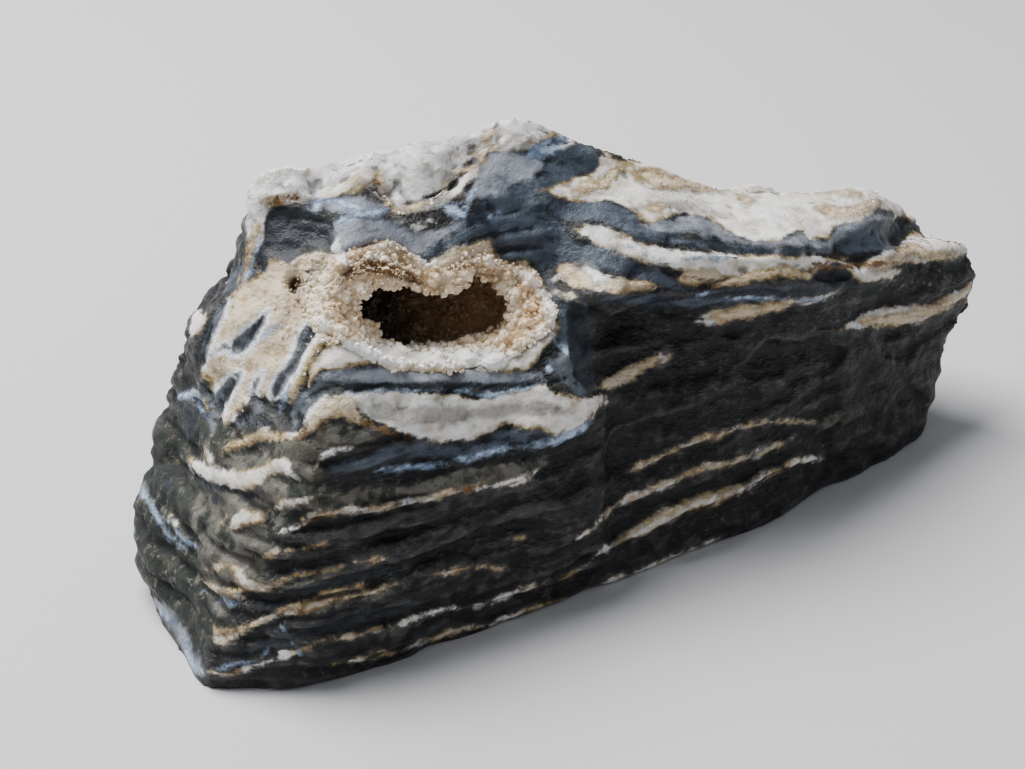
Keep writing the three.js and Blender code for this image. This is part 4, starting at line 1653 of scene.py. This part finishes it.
@dataclass
class StoneBody:
    """The geode's stone, with its ledges, chips and grain.

    Each of the heights is a rise in millimetres and the depths at which it starts and ends. Each lump is
    a column, a row and a reach in pixels and a rise in millimetres.
    """

    painter: Painter
    voxel: float = 0.55
    rounds: int = 14
    sharpen: float = 0.5
    spread: float = 0.15
    ledge: float = 0.55
    ledges: Roughness3D = Roughness3D(11, 1.9, 3)
    ledge_stretch: float = 0.13
    ledge_crisp: float = 4.0
    right_ledge: float = 0.25
    chip: float = 0.55
    left_chip: float = 0.4
    hump: float = 1.4
    humps: Roughness3D = Roughness3D(12, 6.5, 4, (0.8, 0.8, 1.1))
    bit: float = 0.35
    chips: Roughness3D = Roughness3D(13, 2.4, 3, (0.7, 0.7, 1.1))
    chip_crisp: float = 3.0
    plate_rise: float = 0.2
    plate_drop: float = 0.7
    plates: Roughness3D = Roughness3D(19, 7.0, 2, (0.6, 0.6, 1.3))
    plate_edge: Span = (-0.1, 0.1)
    bulge: float = 0.5
    bulges: Roughness3D = Roughness3D(17, 4.6, 3)
    grain: float = 0.28
    grains: Roughness3D = Roughness3D(14, 1.5, 2)
    crown_grain: float = 0.9
    grain_edge: Span = (-0.3, 0.4)
    crown_edge: Span = (-0.2, 0.4)
    knob: float = 1.1
    knobs: Roughness3D = Roughness3D(15, 9.0, 2)
    knurl: float = 0.5
    knurls: Roughness3D = Roughness3D(18, 3.0, 3)
    rib: float = 0.5
    ribs: Roughness3D = Roughness3D(16, 3.6)
    rib_edge: Span = (-0.2, 0.6)
    grainy_calm: float = 0.8
    glassy_calm: float = 0.85
    glassy_edge: Span = (-0.4, 0.5)
    waxy_calm: float = 0.6
    waxy_edge: Span = (-0.2, 0.5)
    least_rough: float = 0.1
    left_part: Span = (-8.0, -16.0)
    steep: Span = (0.45, 0.85)
    foot_zone: Span = (4.0, 0.6)
    calm_zone: Span = (7.0, 1.0)
    calm: float = 0.65
    resting_zone: Span = (1.6, 0.4)
    resting_tilt: Span = (-0.5, -0.9)
    seen_tilt: Span = (0.0, 0.2)
    lump_core: float = 0.2
    heights: Mapping[Tone, tuple[float, Span]] = field(default_factory=lambda: {
        Tone.CREAM: (0.22, (-0.3, 0.35)),
        Tone.TAN: (0.15, (-0.3, 0.35)),
        Tone.INK: (-0.25, (-0.1, 0.8)),
        Tone.SLATE: (-0.55, (-0.1, 0.7)),
    })
    lumps: Mapping[str, tuple[float, float, float, float]] = field(default_factory=lambda: {
        "pit": (294, 284, 14, -1.8),
        "nub": (280, 186, 34, 0.9),
        "nub_saddle": (316, 180, 18, -0.8),
        "fold": (362, 178, 18, 0.6),
        "crown_lump": (428, 170, 38, 1.0),
        "crown_gap": (388, 194, 14, -0.5),
        "crown_crease": (454, 188, 14, -0.3),
        "peak_lump": (520, 130, 28, 0.4),
        "peak_crease": (476, 152, 14, -0.3),
        "lobe": (940, 243, 34, 0.8),
        "lobe_gap": (893, 232, 18, -0.9),
        "rim_blob": (562, 366, 18, 0.5),
    })

    def build(self) -> tuple[bpy.types.Object, SurfaceMesh]:
        """Builds and dresses the stone.

        Returns:
            The piece and its surface.
        """
        surface = SurfaceMesh(rebuilt("rock", self.voxel, self.rounds))
        surface.points = fitted(self.painter.drawing.station, surface.points)
        surface.write()
        self._square_foot(surface)
        self._carve(surface)
        self.painter.paint(surface)
        surface.mesh.polygons.foreach_set("use_smooth", [True] * len(surface.mesh.polygons))
        piece = new_object("banded_stone", surface.mesh)
        piece.data.materials.clear()
        piece.data.materials.append(BandedStone().make())
        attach(piece, "root")
        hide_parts("rock")
        return piece, surface

    def _upright(self, surface: SurfaceMesh) -> np.ndarray:
        """Tells where the surface is a wall."""
        return 1.0 - ease(*self.steep, np.abs(surface.normals[:, 2]))

    def _square_foot(self, surface: SurfaceMesh) -> None:
        """Sharpens the edge that the stone stands on.

        Args:
            surface: The stone's surface, which is changed.
        """
        foot = ease(*self.foot_zone, surface.points[:, 2])
        surface.points[:, 2] = np.maximum(surface.points[:, 2] - self.sharpen * foot, 0.0)
        outward = surface.normals * [1.0, 1.0, 0.0]
        surface.points += outward * (self.spread * foot * self._upright(surface))[:, None]
        surface.write()

    def _carve(self, surface: SurfaceMesh) -> None:
        """Moves the surface in and out, less near the foot and not at all where it rests.

        Args:
            surface: The stone's surface, which is changed.
        """
        points = surface.points
        depths = self.painter.depths(surface)
        left = ease(*self.left_part, points[:, 0])
        move = self._roughness(depths, left) * self._broken(surface, left)
        move += self._grown(points, depths, left)
        for tone, (height, edge) in self.heights.items():
            move += height * ease(*edge, depths[tone])
        move += self._lumped(surface)
        resting = ease(*self.resting_zone, points[:, 2]) * ease(*self.resting_tilt, surface.normals[:, 2])
        move *= (1.0 - resting) * (1.0 - self.calm * ease(*self.calm_zone, points[:, 2]))
        surface.points = points + surface.normals * move[:, None]
        surface.points[:, 2] = np.maximum(surface.points[:, 2], 0.0)
        surface.write()

    def _grainy(self, depths: Mapping[Tone, np.ndarray]) -> np.ndarray:
        """Tells where the stone is made of grains: on the crown and in the cream parts."""
        return ease(*self.grain_edge, np.maximum(depths[Tone.GRAINY], depths[Tone.CREAM]))

    def _roughness(self, depths: Mapping[Tone, np.ndarray], left: np.ndarray) -> np.ndarray:
        """Tells how rough the break is: less so in grainy, glassy and waxy parts.

        Args:
            depths: Millimetres inside each tone's shapes.
            left: Where the left part is.

        Returns:
            Shares from a tenth to one.
        """
        calm = self.grainy_calm * self._grainy(depths)
        calm += self.glassy_calm * ease(*self.glassy_edge, depths[Tone.SMOKE])
        calm += self.waxy_calm * ease(*self.waxy_edge, depths[Tone.TAN]) * left
        return np.maximum(1.0 - calm, self.least_rough)

    def _broken(self, surface: SurfaceMesh, left: np.ndarray) -> np.ndarray:
        """Works out the relief of broken stone: ledges along the beds, humps, chips, plates and bulges.

        Args:
            surface: The stone's surface.
            left: Where the left part is.

        Returns:
            Millimetres outward.
        """
        points = surface.points
        beds = np.column_stack([points[:, :2] * self.ledge_stretch, self.painter.beds.level(points)])
        shelves = np.tanh(self.ledge_crisp * self.ledges.at(beds)) * self._upright(surface)
        bits = self.hump * self.humps.at(points)
        bits += self.bit * np.tanh(self.chip_crisp * self.chips.at(points))
        plates = self.plate_rise - self.plate_drop * ease(*self.plate_edge, self.plates.at(points))
        relief = self.ledge * shelves * (self.right_ledge + (1.0 - self.right_ledge) * left)
        relief += self.chip * (1.0 - (1.0 - self.left_chip) * left) * bits
        relief += (1.0 - left) * plates
        return relief + self.bulge * left * self.bulges.billow(points)

    def _grown(self, points: np.ndarray, depths: Mapping[Tone, np.ndarray], left: np.ndarray) -> np.ndarray:
        """Works out the relief of grown stone: grain, knobs and knurls, and waxy ribs on the left.

        Args:
            points: Places in millimetres, one row each.
            depths: Millimetres inside each tone's shapes.
            left: Where the left part is.

        Returns:
            Millimetres outward.
        """
        crown = ease(*self.crown_edge, depths[Tone.GRAINY])
        waxy = ease(*self.rib_edge, depths[Tone.TAN]) * left
        relief = self.grain * (self._grainy(depths) + self.crown_grain * crown) * self.grains.at(points)
        relief += crown * (self.knob * self.knobs.billow(points) + self.knurl * self.knurls.at(points))
        return relief + self.rib * waxy * self.ribs.at(points)

    def _lumped(self, surface: SurfaceMesh) -> np.ndarray:
        """Works out the named lumps and hollows, where they face the station.

        Args:
            surface: The stone's surface.

        Returns:
            Millimetres outward.
        """
        station = self.painter.drawing.station
        seen = ease(*self.seen_tilt, station.facing(surface.points, surface.normals))
        pixels = station.pixels(surface.points)
        relief = np.zeros(len(pixels))
        for column, row, reach, rise in self.lumps.values():
            away = np.linalg.norm(pixels - (column, row), axis=1)
            relief += rise * seen * ease(reach, self.lump_core * reach, away)
        return relief


@dataclass
class CrystalSeed:
    """One crystal's shape: a short six-sided column with a pointed end."""

    column: float = 0.7
    point: float = 0.9

    def shape(self) -> tuple[np.ndarray, list[tuple[int, ...]]]:
        """Builds the shape about its foot.

        Returns:
            Its corners and its faces.
        """
        work = bmesh.new()
        bmesh.ops.create_cone(work, cap_ends=True, segments=6, radius1=1.0, radius2=1.0, depth=self.column)
        bmesh.ops.translate(work, verts=work.verts, vec=(0.0, 0.0, self.column / 2))
        top = max(work.faces, key=lambda face: face.calc_center_median().z)
        tip = bmesh.ops.poke(work, faces=[top])["verts"]
        bmesh.ops.translate(work, verts=tip, vec=(0.0, 0.0, self.point))
        work.verts.ensure_lookup_table()
        corners = np.array([vert.co for vert in work.verts])
        faces = [tuple(vert.index for vert in face.verts) for face in work.faces]
        work.free()
        return corners, faces


@dataclass
class CrystalSwarm:
    """Many small crystals joined in one mesh."""

    name: str
    seed: int
    small: float
    large: float
    sink: float = 0.45
    lean: float = 0.45
    rarity: float = 2.2
    tallness: Span = (0.8, 1.5)
    tint_chance: float = 0.45

    def build(self, places: np.ndarray, directions: np.ndarray) -> bpy.types.Object:
        """Grows a crystal at each place.

        Args:
            places: Feet of the crystals, in millimetres.
            directions: Where the surface faces there.

        Returns:
            The joined piece.
        """
        chance = np.random.default_rng(self.seed)
        corners, faces = CrystalSeed().shape()
        count = len(places)
        step = len(corners)
        points = self._corners(corners, places, directions, chance)
        joined = [tuple(i + step * k for i in face) for k in range(count) for face in faces]
        mesh = bpy.data.meshes.new(self.name)
        mesh.from_pydata(points.tolist(), [], joined)
        mesh.update()
        rise = np.clip(corners[:, 2] / corners[:, 2].max(), 0.0, 1.0)
        tint = self.tint_chance * np.repeat(chance.random(count), step)
        tint += (1.0 - self.tint_chance) * np.tile(rise, count)
        mesh.attributes.new("tint", "FLOAT", "POINT").data.foreach_set("value", tint.astype(np.float32))
        return new_object(self.name, mesh)

    def _corners(
        self, corners: np.ndarray, places: np.ndarray, directions: np.ndarray, chance: np.random.Generator
    ) -> np.ndarray:
        """Turns and sizes one crystal for each place.

        Args:
            corners: The crystal's corners about its foot.
            places: Feet of the crystals, in millimetres.
            directions: Where the surface faces there.
            chance: Where the random numbers come from.

        Returns:
            All corners, in metres.
        """
        count = len(places)
        axis = directions + self.lean * chance.normal(size=(count, 3))
        axis /= np.linalg.norm(axis, axis=1, keepdims=True)
        aside = np.cross(axis, chance.normal(size=(count, 3)))
        aside /= np.linalg.norm(aside, axis=1, keepdims=True)
        radius = self.small + (self.large - self.small) * chance.random(count) ** self.rarity
        height = radius * chance.uniform(*self.tallness, count)
        sides = np.stack([
            aside * radius[:, None],
            np.cross(axis, aside) * radius[:, None],
            axis * height[:, None],
        ])
        feet = places - axis * (self.sink * height)[:, None]
        points = np.einsum("cs,snx->ncx", corners, sides) + feet[:, None, :]
        return points.reshape(-1, 3) * MILLIMETRE


def scatter(
    mesh: bpy.types.Mesh, weights: np.ndarray, count: int, seed: int, loose: float = 0.3
) -> tuple[np.ndarray, np.ndarray]:
    """Picks random places on a mesh.

    Args:
        mesh: The mesh.
        weights: How likely each face is, beside its area.
        count: How many places.
        seed: The number that fixes the choice.
        loose: How far a place may lie from its face's middle, in millimetres.

    Returns:
        The places in millimetres and the directions there.
    """
    chance = np.random.default_rng(seed)
    share = gathered(mesh.polygons, "area") * weights
    picks = chance.choice(len(share), size=count, p=share / share.sum())
    places = gathered(mesh.polygons, "center", 3)[picks] / MILLIMETRE
    places += chance.uniform(-loose, loose, places.shape)
    return places, gathered(mesh.polygon_normals, "vector", 3)[picks]


def face_values(mesh: bpy.types.Mesh, values: np.ndarray) -> np.ndarray:
    """Takes each face's value from its first corner.

    Args:
        mesh: The mesh.
        values: One number for each point.

    Returns:
        One number for each face.
    """
    starts = gathered(mesh.polygons, "loop_start").astype(int)
    corners = gathered(mesh.loops, "vertex_index").astype(int)
    return values[corners[starts]]


@dataclass
class CrystalPocket:
    """The crust of crystals that lines the stone's hollow."""

    painter: Painter
    voxel: float = 0.36
    rounds: int = 1
    knobs: Roughness3D = Roughness3D(21, 1.5, 2)
    knob: float = 0.3
    swells: Roughness3D = Roughness3D(22, 2.6, 2)
    swell: float = 0.65
    swell_change: float = 0.9
    swell_zone: Span = (1.6, 0.7)
    crystals: int = 6400
    lip_crystals: int = 170
    open_zone: Span = (0.1, 0.4)
    floor_zone: Span = (-0.2, 0.8)
    floor_thinning: float = 0.9
    lip_zone: Span = (1.2, 1.6)
    lip_start: Span = (-0.5, 0.5)
    lip_end: Span = (3.5, 2.5)
    # depths into the mouth over which the painted hole shade comes in
    hollow: Span = (0.8, 6.5)

    def build(self) -> list[bpy.types.Object]:
        """Builds and dresses the crust.

        Returns:
            The crust and the crystals on it.
        """
        surface = SurfaceMesh(rebuilt("crystal_crust", self.voxel, self.rounds))
        gap = self._gap(surface.points)
        surface.points = fitted(self.painter.drawing.station, surface.points)
        surface.write()
        ragged = self.swell * (1.0 + self.swell_change * self.swells.at(surface.points))
        move = self.knob * self.knobs.at(surface.points) + ragged * ease(*self.swell_zone, gap)
        surface.points += surface.normals * move[:, None]
        surface.write()
        finish = Druse().make()
        crust = self._dress(new_object("crystal_crust_base", surface.mesh), surface, finish)
        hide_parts("crystal_crust")
        swarms = [self._fine(surface, gap), self._coarse(surface, gap)]
        return [crust] + [self._dress(swarm, SurfaceMesh(swarm.data), finish) for swarm in swarms]

    def _gap(self, points: np.ndarray) -> np.ndarray:
        """Measures the way from each place of the crust to the stone.

        Args:
            points: Places in millimetres, one row each.

        Returns:
            Millimetres.
        """
        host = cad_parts["rock"].data
        corners = [vertex.co for vertex in host.vertices]
        tree = BVHTree.FromPolygons(corners, [tuple(face.vertices) for face in host.polygons])
        gap = np.array([tree.find_nearest(point)[3] for point in (points * MILLIMETRE).tolist()])
        return gap / MILLIMETRE

    def _fine(self, surface: SurfaceMesh, gap: np.ndarray) -> bpy.types.Object:
        """Grows the small crystals all over the crust, with few on its white floor.

        Args:
            surface: The crust's surface.
            gap: The way from each of its places to the stone.

        Returns:
            The joined crystals.
        """
        cream = self.painter.depths(surface)[Tone.CREAM]
        density = ease(*self.open_zone, gap) * (1.0 - self.floor_thinning * ease(*self.floor_zone, cream))
        places = scatter(surface.mesh, face_values(surface.mesh, density), self.crystals, 77)
        return CrystalSwarm("pocket_crystals", 78, 0.16, 0.46, 0.7).build(*places)

    def _coarse(self, surface: SurfaceMesh, gap: np.ndarray) -> bpy.types.Object:
        """Grows the larger crystals at the pocket's lip.

        Args:
            surface: The crust's surface.
            gap: The way from each of its places to the stone.

        Returns:
            The joined crystals.
        """
        depth = MOUTH.depth(surface.points)
        lip = ease(*self.lip_zone, gap) * ease(*self.lip_start, depth) * ease(*self.lip_end, depth)
        places = scatter(surface.mesh, face_values(surface.mesh, lip), self.lip_crystals, 79)
        return CrystalSwarm("lip_crystals", 80, 0.4, 0.8, 0.6).build(*places)

    def _dress(
        self, piece: bpy.types.Object, surface: SurfaceMesh, finish: bpy.types.Material
    ) -> bpy.types.Object:
        """Paints a piece of the crust and joins it to the stone.

        Args:
            piece: The piece.
            surface: Its surface.
            finish: Its material.

        Returns:
            The piece.
        """
        self.painter.paint(surface)
        # share of painted hole shade, by depth inside the mouth
        surface.store("hollow", ease(*self.hollow, MOUTH.depth(surface.points)))
        piece.data.materials.clear()
        piece.data.materials.append(finish)
        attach(piece, "root")
        return piece


@dataclass
class SurfaceDruse:
    """The small crystals on the stone's tan and cream parts, beside the pocket."""

    painter: Painter
    count: int = 2400
    tan_share: float = 0.3
    finger_share: float = 0.07
    cream_share: float = 0.006
    finger_side: Span = (-18.0, -21.0)
    finger_height: Span = (21.0, 24.0)
    near_mouth: Span = (19.0, 14.0)
    upper: Span = (30.0, 36.0)
    tan_edge: Span = (0.0, 0.7)
    cream_edge: Span = (0.5, 1.6)
    ink_edge: Span = (-0.6, 0.0)
    slate_edge: Span = (-0.8, -0.2)

    def build(self, stone: SurfaceMesh) -> bpy.types.Object:
        """Builds and dresses the crystals.

        Args:
            stone: The stone's surface.

        Returns:
            The joined crystals.
        """
        weights = face_values(stone.mesh, self._density(stone))
        places, directions = scatter(stone.mesh, weights, self.count, 91)
        swarm = CrystalSwarm("surface_crystals", 92, 0.10, 0.30, 0.72).build(places, directions)
        surface = SurfaceMesh(swarm.data)
        self.painter.paint(surface)
        # no painted hole shade on the grains outside the pocket
        surface.store("hollow", np.zeros(len(surface.points)))
        swarm.data.materials.append(Druse("druse_grains").make())
        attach(swarm, "root")
        return swarm

    def _density(self, stone: SurfaceMesh) -> np.ndarray:
        """Tells how thickly the crystals grow.

        Args:
            stone: The stone's surface.

        Returns:
            One share for each of its points.
        """
        depths = self.painter.depths(stone)
        across, height = stone.points[:, 0], stone.points[:, 2]
        fingers = ease(*self.finger_side, across) * ease(*self.finger_height, height)
        around = ease(*self.near_mouth, MOUTH.away(stone.points))
        tan = self.tan_share * ease(*self.tan_edge, depths[Tone.TAN])
        tan = tan * np.maximum(self.finger_share * fingers, around)
        cream = self.cream_share * ease(*self.cream_edge, depths[Tone.CREAM]) * ease(*self.upper, height)
        dark = np.maximum(ease(*self.ink_edge, depths[Tone.INK]), ease(*self.slate_edge, depths[Tone.SLATE]))
        return np.maximum(tan, cream) * (1.0 - dark)


@dataclass(frozen=True)
class Panel:
    """A soft square light: where it hangs and aims, its side in metres and its watts."""

    name: str
    place: tuple[float, float, float]
    aim: tuple[float, float, float]
    power: float
    size: float = 0.5

    def hang(self) -> None:
        """Hangs the light."""
        data = bpy.data.lights.new(self.name, "AREA")
        data.size = self.size
        data.energy = self.power
        lamp = bpy.data.objects.new(self.name, data)
        place = Vector(self.place)
        lamp.matrix_world = aimed(place, Vector(self.aim) - place)
        bpy.context.scene.collection.objects.link(lamp)


def aimed(place: Vector, direction: Vector) -> Matrix:
    """Turns a lamp or a camera to look along a direction.

    Args:
        place: Where it stands, in metres.
        direction: Where it looks.

    Returns:
        Its matrix.
    """
    return Matrix.Translation(place) @ direction.to_track_quat("-Z", "Y").to_matrix().to_4x4()


@dataclass
class Studio:
    """The pale floor, the soft lights and the camera."""

    station: Station
    floor_reach: float = 3.0
    floor_colour: Colour = (0.62, 0.62, 0.63)
    floor_roughness: float = 0.7
    air_colour: Colour = (0.80, 0.84, 0.90)
    air_strength: float = 0.30
    sight: Span = (0.01, 20.0)
    panels: tuple[Panel, ...] = (
        Panel("sky_panel", (-0.15, 0.30, 0.62), (0.0, 0.0, 0.03), 12.0),
        Panel("front_panel", (-0.35, -0.55, 0.35), (0.0, 0.0, 0.02), 0.25),
    )

    def build(self) -> None:
        """Builds everything round the stone."""
        self._floor()
        self._camera()
        for panel in self.panels:
            panel.hang()
        world = bpy.data.worlds.new("studio")
        world.use_nodes = True
        colour, strength = world.node_tree.nodes["Background"].inputs[:2]
        colour.default_value = (*self.air_colour, 1.0)
        strength.default_value = self.air_strength
        bpy.context.scene.world = world

    def _floor(self) -> None:
        """Lays the floor."""
        work = bmesh.new()
        bmesh.ops.create_grid(work, x_segments=2, y_segments=2, size=self.floor_reach)
        mesh = bpy.data.meshes.new("floor")
        work.to_mesh(mesh)
        work.free()
        floor = new_object("floor", mesh)
        mesh.materials.append(Weaver("pale_floor").finish(self.floor_colour, self.floor_roughness))

    def _camera(self) -> None:
        """Stands the camera at the station."""
        data = bpy.data.cameras.new("camera")
        data.lens = self.station.lens
        data.sensor_width = self.station.sensor
        data.clip_start, data.clip_end = self.sight
        camera = bpy.data.objects.new("camera", data)
        camera.matrix_world = aimed(
            Vector(self.station.position) * MILLIMETRE, Vector(self.station.axes()[0])
        )
        bpy.context.scene.collection.objects.link(camera)
        bpy.context.scene.camera = camera


def report(pieces: Iterable[bpy.types.Object]) -> None:
    """Logs each piece and its number of faces."""
    for piece in pieces:
        LOG.info("%s: %d faces", piece.name, len(piece.data.polygons))


def main() -> None:
    """Builds the geode and the studio, and reports each piece."""
    logging.basicConfig(level=logging.INFO, format="%(message)s")
    station = Station()
    Studio(station).build()
    painter = Painter(BandDrawing(station), Beds())
    stone, surface = StoneBody(painter).build()
    report([stone])
    report(CrystalPocket(painter).build())
    report([SurfaceDruse(painter).build(surface)])


if __name__ == "__main__":
    main()
